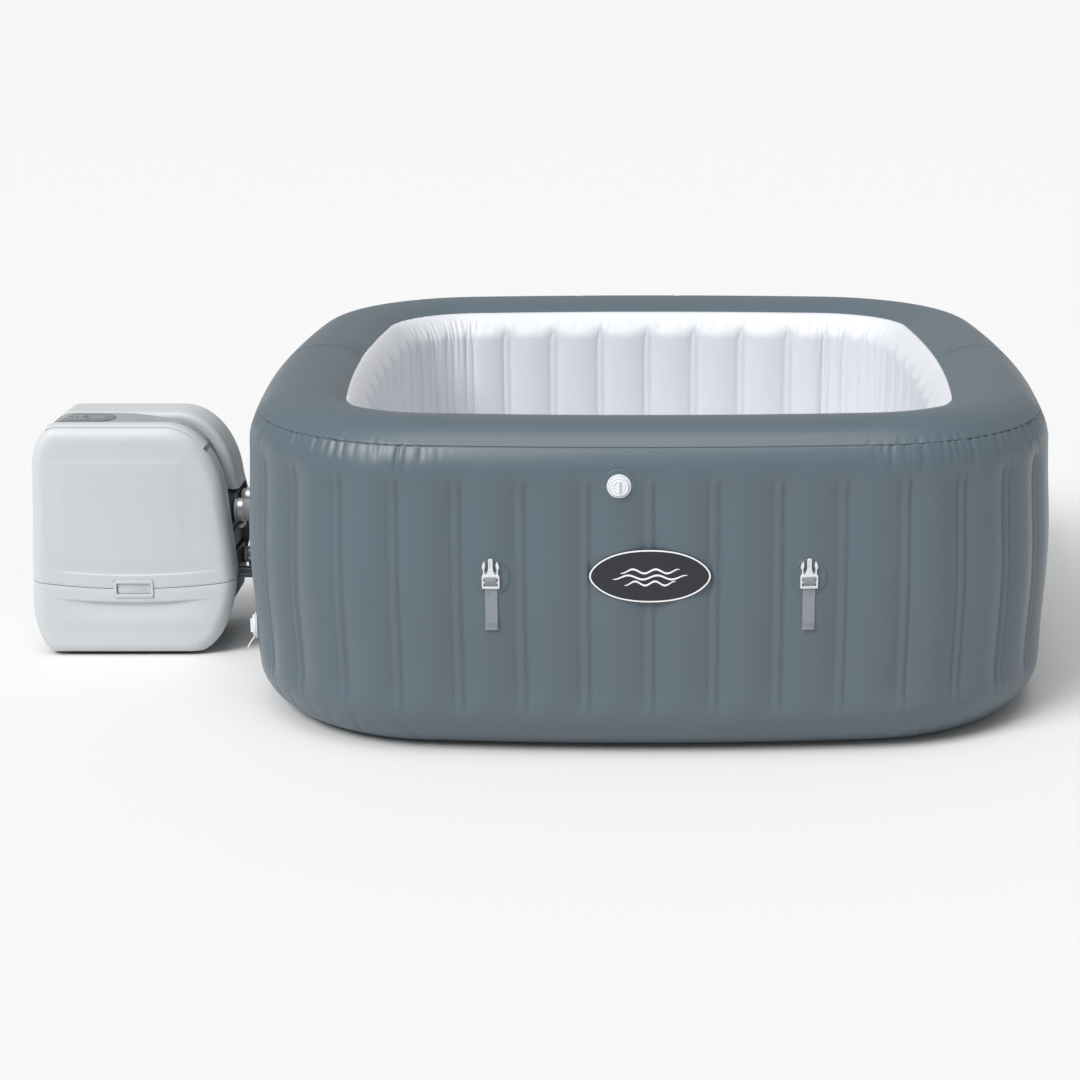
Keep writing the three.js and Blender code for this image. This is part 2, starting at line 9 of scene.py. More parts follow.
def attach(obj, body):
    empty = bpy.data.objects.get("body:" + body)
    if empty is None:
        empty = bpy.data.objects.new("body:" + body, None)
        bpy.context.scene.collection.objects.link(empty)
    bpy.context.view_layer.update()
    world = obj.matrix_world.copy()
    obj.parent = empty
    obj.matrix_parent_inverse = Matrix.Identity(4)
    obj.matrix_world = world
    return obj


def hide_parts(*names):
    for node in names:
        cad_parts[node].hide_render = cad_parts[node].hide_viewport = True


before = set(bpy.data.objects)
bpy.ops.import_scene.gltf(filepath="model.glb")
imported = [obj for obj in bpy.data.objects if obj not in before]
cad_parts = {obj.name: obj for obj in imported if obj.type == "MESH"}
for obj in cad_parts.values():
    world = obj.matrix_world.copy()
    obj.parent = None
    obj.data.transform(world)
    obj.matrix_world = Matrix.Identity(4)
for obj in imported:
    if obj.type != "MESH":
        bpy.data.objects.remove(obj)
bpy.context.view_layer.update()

MM = 0.001
FORWARDS = (0, -1, 0)  # the way that the tub's front faces
TO_PUMP = (-1, 0, 0)  # the way that the hoses run

# The tub's outline: four bowed sides joined by round corners.
TUB_HALF = 0.900
SIDE_RADIUS = 5.000
CORNER_RADIUS = 0.448
TUB_HEIGHT = 0.698
WALL = 0.265
SWELL = 0.010  # the outside wall stands this much further out at its middle height
CREST = 0.119  # from the outside, the highest line of the rounded top
TOP_RISE = 0.115
INNER_RISE = 0.092
FOOT_RADIUS = 0.119
WELD_LAP = 0.0154  # the floor sheet goes this far under the wall's foot
OUTER_SEAM = math.radians(39)
INNER_SEAM = math.radians(134)
STRIPS = 48  # weld strips round the wall, one of them at the middle of each side
STRIP_HALF = 0.0100  # half of the width of a strip
SEED = 7
SKIN = 0.004  # how thick the skins are drawn
CASE_WALL = 0.0034  # the pump unit's moulded covers


# ---- Camera, light and floor ----

EYE = (-0.017, -5.331, 1.670)
LOOKS_DOWN, LOOKS_RIGHT = 0.264, 0.004  # radians
LENS = 76.3
SHIFT = -110.4 / 1080  # the share of the frame's width that the view is moved by


def camera():
    """Stands in front of the tub, a little to its left, and looks down on it."""
    data = bpy.data.cameras.new("camera")
    data.lens = LENS
    data.sensor_width = 36
    data.shift_x = SHIFT
    view = bpy.data.objects.new("camera", data)
    view.location = EYE
    view.rotation_euler = (math.pi / 2 - LOOKS_DOWN, 0, -LOOKS_RIGHT)
    bpy.context.collection.objects.link(view)
    bpy.context.scene.camera = view


def soft_sun(name, towards, spread, strength):
    """A broad even light that comes from a direction."""
    data = bpy.data.lights.new(name, "SUN")
    data.angle = math.radians(spread)
    data.energy = strength
    lamp = bpy.data.objects.new(name, data)
    lamp.rotation_euler = Vector(towards).to_track_quat("Z", "Y").to_euler()
    bpy.context.collection.objects.link(lamp)


def studio():
    """Plain white surroundings, two broad suns and a pale floor."""
    world = bpy.data.worlds.new("studio")
    bpy.context.scene.world = world
    world.use_nodes = True
    world.node_tree.nodes["Background"].inputs["Color"].default_value = (1, 1, 1, 1)
    world.node_tree.nodes["Background"].inputs["Strength"].default_value = 0.40
    bpy.context.scene.view_settings.view_transform = "Standard"
    soft_sun("key", (-0.62, -0.66, 0.90), 28, 2.3)
    soft_sun("top", (0.0, -0.25, 1.0), 40, 1.0)
    bpy.ops.mesh.primitive_plane_add(size=240, location=(0, 0, 0))
    floor = bpy.context.object
    floor.name = "floor"
    floor.data.materials.append(plain_floor())


# ---- Materials ----

def rgb(red, green, blue):
    """A colour of 0 to 255 steps, as the shader wants it."""
    def linear(step):
        value = step / 255
        return value / 12.92 if value <= 0.04045 else ((value + 0.055) / 1.055) ** 2.4
    return (linear(red), linear(green), linear(blue), 1)


class Nodes:
    """Adds and joins the nodes of one tree."""

    def __init__(self, tree):
        self.tree = tree

    def add(self, kind, values=(), **settings):
        node = self.tree.nodes.new(kind)
        for name, value in settings.items():
            setattr(node, name, value)
        for socket, value in dict(values).items():
            if hasattr(value, "links"):
                self.tree.links.new(value, node.inputs[socket])
            else:
                node.inputs[socket].default_value = value
        return node

    def maths(self, operation, first, second=0.5, clamp=False):
        return self.add("ShaderNodeMath", {0: first, 1: second}, operation=operation,
                        use_clamp=clamp).outputs[0]

    def mix(self, share, first, second):
        node = self.add("ShaderNodeMix", data_type="RGBA")
        for socket, value in ((node.inputs[0], share), (node.inputs[6], first),
                              (node.inputs[7], second)):
            if hasattr(value, "links"):
                self.tree.links.new(value, socket)
            else:
                socket.default_value = value
        return node.outputs[2]


def group_tree(name, inputs, outputs):
    """An empty node group with named inputs (kind, default) and outputs (kind)."""
    tree = bpy.data.node_groups.new(name, "ShaderNodeTree")
    for label, (kind, default) in inputs.items():
        socket = tree.interface.new_socket(label, in_out="INPUT", socket_type=kind)
        if default is not None:
            socket.default_value = default
    for label, kind in outputs.items():
        tree.interface.new_socket(label, in_out="OUTPUT", socket_type=kind)
    given = tree.nodes.new("NodeGroupInput").outputs
    return tree, Nodes(tree), given, tree.nodes.new("NodeGroupOutput").inputs


FLOAT, COLOUR, VECTOR = "NodeSocketFloat", "NodeSocketColor", "NodeSocketVector"


def mottle_group():
    """Slow changes of tone and gloss over a surface, with fine speckle."""
    tree, n, given, out = group_tree(
        "mottle",
        {"Position": (VECTOR, None), "Colour": (COLOUR, (0.5, 0.5, 0.5, 1)), "Size": (FLOAT, 0.2),
         "Strength": (FLOAT, 0.1), "Roughness": (FLOAT, 0.5), "Gloss change": (FLOAT, 0.06)},
        {"Colour": COLOUR, "Roughness": FLOAT},
    )
    scale = n.maths("DIVIDE", 1.0, given["Size"])
    clouds = n.add("ShaderNodeTexNoise",
                   {"Vector": given["Position"], "Scale": scale, "Detail": 4.0})
    speckle = n.add("ShaderNodeTexNoise",
                    {"Vector": given["Position"], "Scale": n.maths("MULTIPLY", scale, 60.0),
                     "Detail": 2.0})
    tone = n.maths("ADD", n.maths("MULTIPLY", clouds.outputs[0], 0.75),
                   n.maths("MULTIPLY", speckle.outputs[0], 0.25))
    swing = n.maths("MULTIPLY", n.maths("SUBTRACT", tone, 0.5),
                    n.maths("MULTIPLY", given["Strength"], 2.0))
    bright = n.maths("ADD", swing, 1.0)
    shade = n.add("ShaderNodeHueSaturation", {"Value": bright, "Color": given["Colour"]})
    tree.links.new(shade.outputs[0], out["Colour"])
    gloss = n.maths("MULTIPLY", n.maths("SUBTRACT", clouds.outputs[0], 0.5),
                    n.maths("MULTIPLY", given["Gloss change"], 2.0))
    tree.links.new(n.maths("ADD", given["Roughness"], gloss, clamp=True), out["Roughness"])
    return tree


def scrim_group():
    """The fine cross of threads that shows through a coated cloth, as a height."""
    tree, n, given, out = group_tree(
        "scrim", {"Position": (VECTOR, None), "Pitch": (FLOAT, 0.0014)}, {"Height": FLOAT})
    split = n.add("ShaderNodeSeparateXYZ", {0: given["Position"]})
    turn = n.maths("DIVIDE", 2 * math.pi, given["Pitch"])
    across = n.maths("SINE", n.maths("MULTIPLY", split.outputs[0], turn))
    along = n.maths("SINE", n.maths("MULTIPLY", split.outputs[1], turn))
    height = n.maths("MULTIPLY", n.maths("ADD", across, along), 0.25)
    tree.links.new(n.maths("ADD", height, 0.5), out["Height"])
    return tree


def grain_group():
    """The fine pitted grain of a moulding, as a height."""
    tree, n, given, out = group_tree(
        "grain", {"Position": (VECTOR, None), "Size": (FLOAT, 0.0012)}, {"Height": FLOAT})
    scale = n.maths("DIVIDE", 1.0, given["Size"])
    noise = n.add("ShaderNodeTexNoise",
                  {"Vector": given["Position"], "Scale": scale, "Detail": 3.0, "Roughness": 0.6})
    tree.links.new(noise.outputs[0], out["Height"])
    return tree


def weave_group():
    """Webbing: ribs across it, offset from one yarn to the next, and painted shade for the gaps
    between them.
    """
    tree, n, given, out = group_tree(
        "weave", {"Position": (VECTOR, None), "Pitch": (FLOAT, 0.002)},
        {"Height": FLOAT, "Painted gap shade": FLOAT})
    split = n.add("ShaderNodeSeparateXYZ", {0: given["Position"]})
    turn = n.maths("DIVIDE", 2 * math.pi, given["Pitch"])
    yarn = n.maths("MULTIPLY", split.outputs[0], turn)
    step = n.maths("MULTIPLY", n.maths("SIGN", n.maths("SINE", yarn)), 1.5708)
    rib = n.maths("SINE", n.maths("ADD", n.maths("MULTIPLY", split.outputs[1], turn), step))
    round_yarn = n.maths("ABSOLUTE", n.maths("SINE", yarn))
    height = n.maths("MULTIPLY", n.maths("ADD", n.maths("MULTIPLY", rib, 0.5), 0.5), round_yarn)
    tree.links.new(height, out["Height"])
    tree.links.new(n.maths("SUBTRACT", 1.0, height, clamp=True), out["Painted gap shade"])
    return tree


GROUPS = {"mottle": mottle_group(), "scrim": scrim_group(), "grain": grain_group(),
          "weave": weave_group()}


class Finish:
    """A material in the making: one Principled shader and the nodes that feed it."""

    def __init__(self, name):
        self.material = bpy.data.materials.new(name)
        self.material.use_nodes = True
        self.tree = self.material.node_tree
        self.n = Nodes(self.tree)
        self.shader = self.tree.nodes["Principled BSDF"]
        self.object = self.n.add("ShaderNodeTexCoord").outputs["Object"]

    def group(self, name, values):
        node = self.n.add("ShaderNodeGroup", node_tree=GROUPS[name])
        for label, value in values.items():
            if hasattr(value, "links"):
                self.tree.links.new(value, node.inputs[label])
            else:
                node.inputs[label].default_value = value
        return node.outputs

    def uv(self, name="UVMap"):
        return self.n.add("ShaderNodeUVMap", uv_map=name).outputs[0]

    def set(self, **values):
        for label, value in values.items():
            socket = self.shader.inputs[label.replace("_", " ")]
            if hasattr(value, "links"):
                self.tree.links.new(value, socket)
            else:
                socket.default_value = value
        return self

    def mottled(self, colour, size, strength, roughness, change=0.06):
        made = self.group("mottle", {"Position": self.object, "Colour": colour, "Size": size,
                                     "Strength": strength, "Roughness": roughness,
                                     "Gloss change": change})
        self.set(Base_Color=made["Colour"], Roughness=made["Roughness"])
        return self

    def bump(self, *layers):
        """Each layer is a height and how deep it is, in metres."""
        normal = None
        for height, depth in layers:
            node = self.n.add("ShaderNodeBump",
                              {"Height": height, "Distance": depth, "Strength": 1.0})
            if normal:
                self.tree.links.new(normal, node.inputs["Normal"])
            normal = node.outputs[0]
        self.tree.links.new(normal, self.shader.inputs["Normal"])
        return self


def plain_floor():
    made = Finish("pale_floor")
    return made.set(Base_Color=(0.78, 0.78, 0.78, 1), Roughness=0.9).material


def laminate(name, colour, roughness):
    """Coated cloth, with its threads just showing and slow waves in the skin."""
    made = Finish(name)
    made.mottled(colour, 0.25, 0.045, roughness, 0.05)
    threads = made.group("scrim", {"Position": made.uv(), "Pitch": 0.0022})
    waves = made.n.add("ShaderNodeTexNoise", {"Vector": made.object, "Scale": 9.0, "Detail": 3.0})
    pores = made.group("grain", {"Position": made.object, "Size": 0.0016})
    made.bump((threads["Height"], 0.00006), (waves.outputs[0], 0.0007), (pores["Height"], 0.00008))
    return made.material


def moulding(name, colour, roughness, grain=0.00006):
    """A moulded plastic with a fine grain."""
    made = Finish(name)
    made.mottled(colour, 0.3, 0.03, roughness, 0.05)
    pits = made.group("grain", {"Position": made.object, "Size": 0.0013})
    made.bump((pits["Height"], grain))
    return made.material


def webbing_finish():
    """Woven webbing: ribs across the strap, each crossed by fine yarns, with painted shade in the
    gaps between them.
    """
    made = Finish("webbing_grey")
    made.mottled(rgb(147, 151, 159), 0.05, 0.06, 0.85, 0.03)
    weave = made.group("weave", {"Position": made.uv(), "Pitch": 0.0021})
    # Painted shade: the gaps between the yarns are darkened towards near black.
    dark = made.n.mix(made.n.maths("MULTIPLY", weave["Painted gap shade"], 0.22),
                      made.shader.inputs["Base Color"].links[0].from_socket,
                      (0.12, 0.125, 0.135, 1))
    made.set(Base_Color=dark)
    made.bump((weave["Height"], 0.00032))
    return made.material


def milky_finish():
    """Milky moulded plastic: light goes a little way in."""
    made = Finish("milky_plastic")
    made.mottled(rgb(226, 229, 233), 0.02, 0.02, 0.24, 0.03)
    made.set(Subsurface_Weight=0.25, Subsurface_Radius=(0.006, 0.006, 0.006), Subsurface_Scale=1.0,
             Coat_Weight=0.25,
             Coat_Roughness=0.15)
    swirl = made.n.add("ShaderNodeTexNoise", {"Vector": made.object, "Scale": 220.0, "Detail": 2.0})
    made.bump((swirl.outputs[0], 0.00004))
    return made.material


def steel_finish(name, colour, roughness):
    """Rolled stainless strip, with fine lines round the hose."""
    made = Finish(name)
    made.mottled(colour, 0.01, 0.05, roughness, 0.06)
    made.set(Metallic=1.0)
    stretch = made.n.add("ShaderNodeMapping",
                         {"Vector": made.object, "Scale": (2200.0, 40.0, 40.0)})
    lines = made.n.add("ShaderNodeTexNoise",
                       {"Vector": stretch.outputs[0], "Scale": 1.0, "Detail": 2.0})
    made.bump((lines.outputs[0], 0.00002))
    return made.material


def gloss_finish(name, colour, roughness, coat=0.6):
    """Smooth gloss plastic, with the faintest haze."""
    made = Finish(name)
    made.mottled(colour, 0.04, 0.02, roughness, 0.04)
    made.set(Coat_Weight=coat, Coat_Roughness=0.08)
    haze = made.n.add("ShaderNodeTexNoise", {"Vector": made.object, "Scale": 900.0, "Detail": 2.0})
    made.bump((haze.outputs[0], 0.00001))
    return made.material


def smoke_finish():
    """Smoke-grey hose, clear enough for light to catch its wall."""
    made = Finish("smoke_hose")
    made.mottled(rgb(98, 102, 112), 0.03, 0.05, 0.16, 0.04)
    made.set(Coat_Weight=0.5, Coat_Roughness=0.1, Subsurface_Weight=0.15,
             Subsurface_Radius=(0.004, 0.004, 0.005))
    rings = made.n.add("ShaderNodeTexWave",
                       {"Vector": made.object, "Scale": 160.0, "Distortion": 0.2},
                       wave_type="BANDS", bands_direction="X")
    made.bump((rings.outputs[1], 0.00006))
    return made.material


def paper_finish():
    made = Finish("filter_paper")
    made.mottled(rgb(232, 232, 226), 0.01, 0.04, 0.9, 0.02)
    fibres = made.group("grain", {"Position": made.object, "Size": 0.0006})
    made.bump((fibres["Height"], 0.00012))
    return made.material


FINISHES = {
    "outer": laminate("outer_laminate", rgb(87, 100, 109), 0.36),
    "liner": laminate("liner_laminate", rgb(220, 222, 227), 0.42),
    "casing": moulding("casing_plastic", rgb(199, 202, 204), 0.46),
    # The casing plastic made darker: painted shade for the channel and for the lid's deck behind
    # its lip.
    "casing_painted_shade": moulding("casing_painted_shade_plastic", rgb(158, 161, 163), 0.5),
    "black": moulding("black_plastic", rgb(13, 13, 14), 0.45),
    "port_grey": moulding("port_grey_plastic", rgb(84, 86, 90), 0.45),
    "milky": milky_finish(),
    "jet_grey": moulding("jet_grey_plastic", rgb(120, 126, 132), 0.4),
    "cap_blue": moulding("cartridge_cap_plastic", rgb(70, 104, 150), 0.5),
    "badge": moulding("badge_charcoal", rgb(34, 36, 41), 0.45),
    "badge_edge": gloss_finish("badge_white", rgb(236, 237, 240), 0.35, 0.3),
    "webbing": webbing_finish(),
    "thread": moulding("stitch_thread", rgb(120, 124, 131), 0.8),
    "buckle": moulding("buckle_plastic", rgb(212, 214, 217), 0.36, 0.00003),
    "cuff": moulding("hose_cuff_rubber", rgb(192, 195, 199), 0.5),
    "smoke": smoke_finish(),
    "steel": steel_finish("clamp_steel", rgb(226, 227, 229), 0.34),
    # Painted shade for the clamp band's slot holes.
    "slot_painted_shade": steel_finish("slot_painted_shade_steel", rgb(70, 71, 74), 0.5),
    "panel": gloss_finish("panel_gloss", rgb(104, 112, 114), 0.22),
    "display": gloss_finish("display_glass", rgb(16, 18, 20), 0.08, 1.0),
    "mark": gloss_finish("printed_mark", rgb(218, 222, 226), 0.4, 0.1),
    "key": moulding("key_rubber", rgb(92, 100, 104), 0.5, 0.00003),
    "paper": paper_finish(),
    "board": moulding("circuit_board_green", rgb(47, 107, 60), 0.5),
}


# ---- Shaping by hand ----

def painted(piece, *finishes):
    """Gives a piece its materials, and nothing else."""
    piece.data.materials.clear()
    for finish in finishes:
        piece.data.materials.append(FINISHES[finish])
    return piece


def alone(piece):
    """Selects one piece and nothing else."""
    bpy.ops.object.select_all(action="DESELECT")
    piece.select_set(True)
    bpy.context.view_layer.objects.active = piece
    return piece


def placed(piece, at=(0, 0, 0), facing=None, turn=0.0):
    """Turns a piece made along +Z to face a direction, moves it, and puts its place in its mesh."""
    if facing is not None and tuple(facing) != (0, 0, 1):
        swing = Vector(facing).to_track_quat("Z", "Y")
        piece.rotation_euler = (swing @ Matrix.Rotation(turn, 3, "Z").to_quaternion()).to_euler()
    piece.location = at
    alone(piece)
    bpy.ops.object.transform_apply(location=True, rotation=True, scale=True)
    return piece


def smoothed(piece, angle=35):
    """Shades a piece smooth, but for edges sharper than an angle in degrees."""
    alone(piece)
    bpy.ops.object.shade_smooth_by_angle(angle=math.radians(angle))
    return piece


def modified(piece, kind, **settings):
    """Adds one modifier and applies it."""
    change = piece.modifiers.new(kind.lower(), kind)
    for name, value in settings.items():
        setattr(change, name, value)
    alone(piece)
    bpy.ops.object.modifier_apply(modifier=change.name)
    return piece


def softened(piece, width, segments=3, angle=40):
    """Rounds the sharp edges."""
    return modified(piece, "BEVEL", width=width, segments=segments, limit_method="ANGLE",
                    angle_limit=math.radians(angle), harden_normals=False)


def walled(piece, thick=CASE_WALL):
    """Gives an open shell its thickness, inwards."""
    return modified(piece, "SOLIDIFY", thickness=thick, offset=-1, use_even_offset=True)


def cut_with(piece, tool):
    modified(piece, "BOOLEAN", operation="DIFFERENCE", solver="EXACT", object=tool)
    bpy.data.objects.remove(tool)
    return piece


def joined(name, pieces):
    """Makes one piece of several."""
    bpy.ops.object.select_all(action="DESELECT")
    for piece in pieces:
        piece.select_set(True)
    bpy.context.view_layer.objects.active = pieces[0]
    if len(pieces) > 1:
        bpy.ops.object.join()
    pieces[0].name = name
    return pieces[0]


def select_faces(piece, test):
    """Goes into edit mode with only the faces selected that pass a test of centre and normal."""
    alone(piece)
    bpy.ops.object.mode_set(mode="EDIT")
    bpy.context.tool_settings.mesh_select_mode = (False, False, True)
    bpy.ops.mesh.select_all(action="DESELECT")
    bpy.ops.object.mode_set(mode="OBJECT")
    for face in piece.data.polygons:
        face.select = test(face.center, face.normal)
    bpy.ops.object.mode_set(mode="EDIT")


def edited(piece):
    """Goes into edit mode with all of a piece selected."""
    alone(piece)
    bpy.ops.object.mode_set(mode="EDIT")
    bpy.ops.mesh.select_all(action="SELECT")


def made_whole(piece):
    """Merges doubles and turns the faces outwards."""
    edited(piece)
    bpy.ops.mesh.remove_doubles(threshold=0.00001)
    bpy.ops.mesh.delete_loose()
    bpy.ops.mesh.select_all(action="SELECT")
    bpy.ops.mesh.normals_make_consistent(inside=False)
    bpy.ops.object.mode_set(mode="OBJECT")
    return piece


def block(name, finish, low, high, edge=0.001, segments=3):
    """A box between two corners, with rounded edges."""
    bpy.ops.object.select_all(action="DESELECT")
    centre = [(a + b) / 2 for a, b in zip(low, high)]
    bpy.ops.mesh.primitive_cube_add(size=1, location=centre)
    piece = bpy.context.object
    piece.scale = [b - a for a, b in zip(low, high)]
    piece.name = name
    painted(piece, finish)
    placed(piece, centre)
    if edge:
        softened(piece, edge, segments)
    return smoothed(piece)


def spun(name, finish, section, at=(0, 0, 0), facing=(0, 0, 1), steps=48):
    """Spins a closed section of [radius, height] in millimetres about +Z, then turns it to face
    a way."""
    bpy.ops.object.select_all(action="DESELECT")
    bpy.ops.mesh.primitive_circle_add(vertices=len(section), radius=0.01)
    piece = bpy.context.object
    piece.name = name
    for vertex, (radius, height) in zip(piece.data.vertices, section):
        vertex.co = (max(radius, 0) * MM, 0, height * MM)
    bpy.ops.object.mode_set(mode="EDIT")
    bpy.ops.mesh.select_all(action="SELECT")
    bpy.ops.mesh.spin(steps=steps, angle=2 * math.pi, center=(0, 0, 0), axis=(0, 0, 1))
    bpy.ops.object.mode_set(mode="OBJECT")
    made_whole(piece)
    painted(piece, finish)
    placed(piece, at, facing)
    return smoothed(piece)


def flat_plate(name, finish, loops, thick, edge=0.0005, facing=(0, 0, 1), at=(0, 0, 0), turn=0.0,
               segments=2):
    """A plate with rounded edges, cut to closed outlines of [x, y] in metres, its back on the
    plane."""
    data = bpy.data.curves.new(name, "CURVE")
    data.dimensions = "2D"
    data.fill_mode = "BOTH"
    data.extrude = thick / 2 - edge
    data.bevel_depth = edge
    data.bevel_resolution = segments
    data.offset = -edge
    for loop in loops:
        spline = data.splines.new("POLY")
        spline.points.add(len(loop) - 1)
        for point, (x, y) in zip(spline.points, loop):
            point.co = (x, y, 0, 1)
        spline.use_cyclic_u = True
    piece = bpy.data.objects.new(name, data)
    bpy.context.collection.objects.link(piece)
    alone(piece)
    bpy.ops.object.convert(target="MESH")
    piece = bpy.context.object
    for vertex in piece.data.vertices:
        vertex.co.z += thick / 2
    made_whole(piece)
    painted(piece, finish)
    placed(piece, at, facing, turn)
    return smoothed(piece)


def rounded(width, height, radius, x=0.0, y=0.0, steps=8):
    """A rounded rectangle's outline."""
    points = []
    for corner, (sx, sy) in enumerate(((1, -1), (1, 1), (-1, 1), (-1, -1))):
        for step in range(steps + 1):
            angle = -math.pi / 2 + corner * math.pi / 2 + step / steps * math.pi / 2
            points.append((x + sx * (width / 2 - radius) + radius * math.cos(angle),
                           y + sy * (height / 2 - radius) + radius * math.sin(angle)))
    return points


def round_loop(radius, x=0.0, y=0.0, steps=32):
    return [(x + radius * math.cos(a), y + radius * math.sin(a))
            for a in np.linspace(0, 2 * math.pi, steps, endpoint=False)]


def line_of(name, finish, points, thick, steps=3):
    """A thin round bar along points."""
    data = bpy.data.curves.new(name, "CURVE")
    data.dimensions = "3D"
    data.bevel_depth = thick / 2
    data.bevel_resolution = steps
    data.use_fill_caps = True
    spline = data.splines.new("POLY")
    spline.points.add(len(points) - 1)
    for point, place in zip(spline.points, points):
        point.co = (*place, 1)
    piece = bpy.data.objects.new(name, data)
    bpy.context.collection.objects.link(piece)
    alone(piece)
    bpy.ops.object.convert(target="MESH")
    piece = bpy.context.object
    made_whole(piece)
    painted(piece, finish)
    return smoothed(piece)


def from_points(name, finish, points, faces):
    """A piece made straight from its points and faces."""
    mesh = bpy.data.meshes.new(name)
    mesh.from_pydata(points, [], faces)
    piece = bpy.data.objects.new(name, mesh)
    bpy.context.collection.objects.link(piece)
    return painted(piece, finish)


def fitted(piece, body="root", stands_for=()):
    """A finished piece: it rides a body, and stands for CAD nodes."""
    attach(piece, body)
    if stands_for:
        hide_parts(*stands_for)
    return piece


# ---- The tub's outline and skins ----

CORNER_CENTRE = (-(SIDE_RADIUS - TUB_HALF) + math.sqrt(
    2 * (SIDE_RADIUS - CORNER_RADIUS) ** 2 - (SIDE_RADIUS - TUB_HALF) ** 2)) / 2
SIDE_ANGLE = math.atan2(CORNER_CENTRE, SIDE_RADIUS - TUB_HALF + CORNER_CENTRE)
CORNER_TURN = math.pi / 2 - 2 * SIDE_ANGLE
SIDE_LENGTH = 2 * SIDE_ANGLE * SIDE_RADIUS
CORNER_LENGTH = CORNER_TURN * CORNER_RADIUS
QUARTER = SIDE_LENGTH + CORNER_LENGTH
PITCH = 4 * QUARTER / STRIPS


def outline(distance):
    """Places and outward normals on the outline, at distances round it from the front's middle."""
    distance = np.asarray(distance, float)
    quarter = np.floor((distance + SIDE_LENGTH / 2) / QUARTER)
    along = distance + SIDE_LENGTH / 2 - quarter * QUARTER
    on_side = along <= SIDE_LENGTH
    turned = np.where(on_side, along / SIDE_RADIUS - SIDE_ANGLE,
                      SIDE_ANGLE + (along - SIDE_LENGTH) / CORNER_RADIUS)
    normal = np.stack([np.sin(turned), -np.cos(turned)], -1)
    centre = np.where(on_side[:, None], [0, SIDE_RADIUS - TUB_HALF],
                      [CORNER_CENTRE, -CORNER_CENTRE])
    place = centre + normal * np.where(on_side, SIDE_RADIUS, CORNER_RADIUS)[:, None]
    turn = quarter * math.pi / 2
    cos, sin = np.cos(turn), np.sin(turn)
    def swung(v):
        return np.stack([v[:, 0] * cos - v[:, 1] * sin, v[:, 0] * sin + v[:, 1] * cos], -1)
    return swung(place), swung(normal)


def corner_share(distance, spread=0.10):
    """1 in a round corner, falling to 0 a little way along the sides."""
    along = np.mod(np.asarray(distance) + SIDE_LENGTH / 2, QUARTER)
    past = np.where(along > SIDE_LENGTH, 0, np.minimum(along, SIDE_LENGTH - along))
    return 1 - smooth(past / spread)


def smooth(t):
    t = np.clip(t, 0, 1)
    return t * t * (3 - 2 * t)


ROUND = 4 * QUARTER


def strip_distance(distance):
    """How far a place round the wall is from the middle of its nearest weld strip."""
    return np.abs(np.mod(distance + PITCH / 2, PITCH) - PITCH / 2)


def crossing(u, at):
    """Signed distance along the wall from a place on it."""
    return np.mod(u - at + ROUND / 2, ROUND) - ROUND / 2


def stations(fine, coarse):
    """Distances round the tub: close together by the strips and in the corners."""
    marks = []
    for strip in range(STRIPS):
        for offset in (0, 3.5, 6.5, 8.6, 10.6, 13, 16.5, 22, 29, 37, 46, 55.5, 65):
            marks += [strip * PITCH + offset * MM, strip * PITCH - offset * MM]
    for start in np.arange(0, ROUND, coarse):
        marks.append(start)
    for quarter in range(4):
        begin = quarter * QUARTER + SIDE_LENGTH / 2 - 0.10
        marks += list(np.arange(begin, begin + CORNER_LENGTH + 0.20, fine))
    marks = np.sort(np.mod(marks, ROUND))
    kept = [marks[0]]
    for mark in marks[1:]:
        if mark - kept[-1] >= 0.6 * fine:
            kept.append(mark)
    return np.array(kept)


def top_point(angle):
    """A point [inset, z] of the rounded top, by its angle from the outside wall."""
    outer = angle < math.pi / 2
    rise = TOP_RISE if outer else INNER_RISE
    reach = CREST - SWELL if outer else WALL - CREST
    return [CREST - reach * math.cos(angle), TUB_HEIGHT - rise + rise * math.sin(angle)]


def wall_inset(z):
    """How far in from the outline the outside wall is, between its foot and its rounded top."""
    half = (TUB_HEIGHT - TOP_RISE - FOOT_RADIUS) / 2
    share = min(abs(z - FOOT_RADIUS - half) / half, 1)
    return SWELL / 2 * (1 - math.cos(math.pi * share))


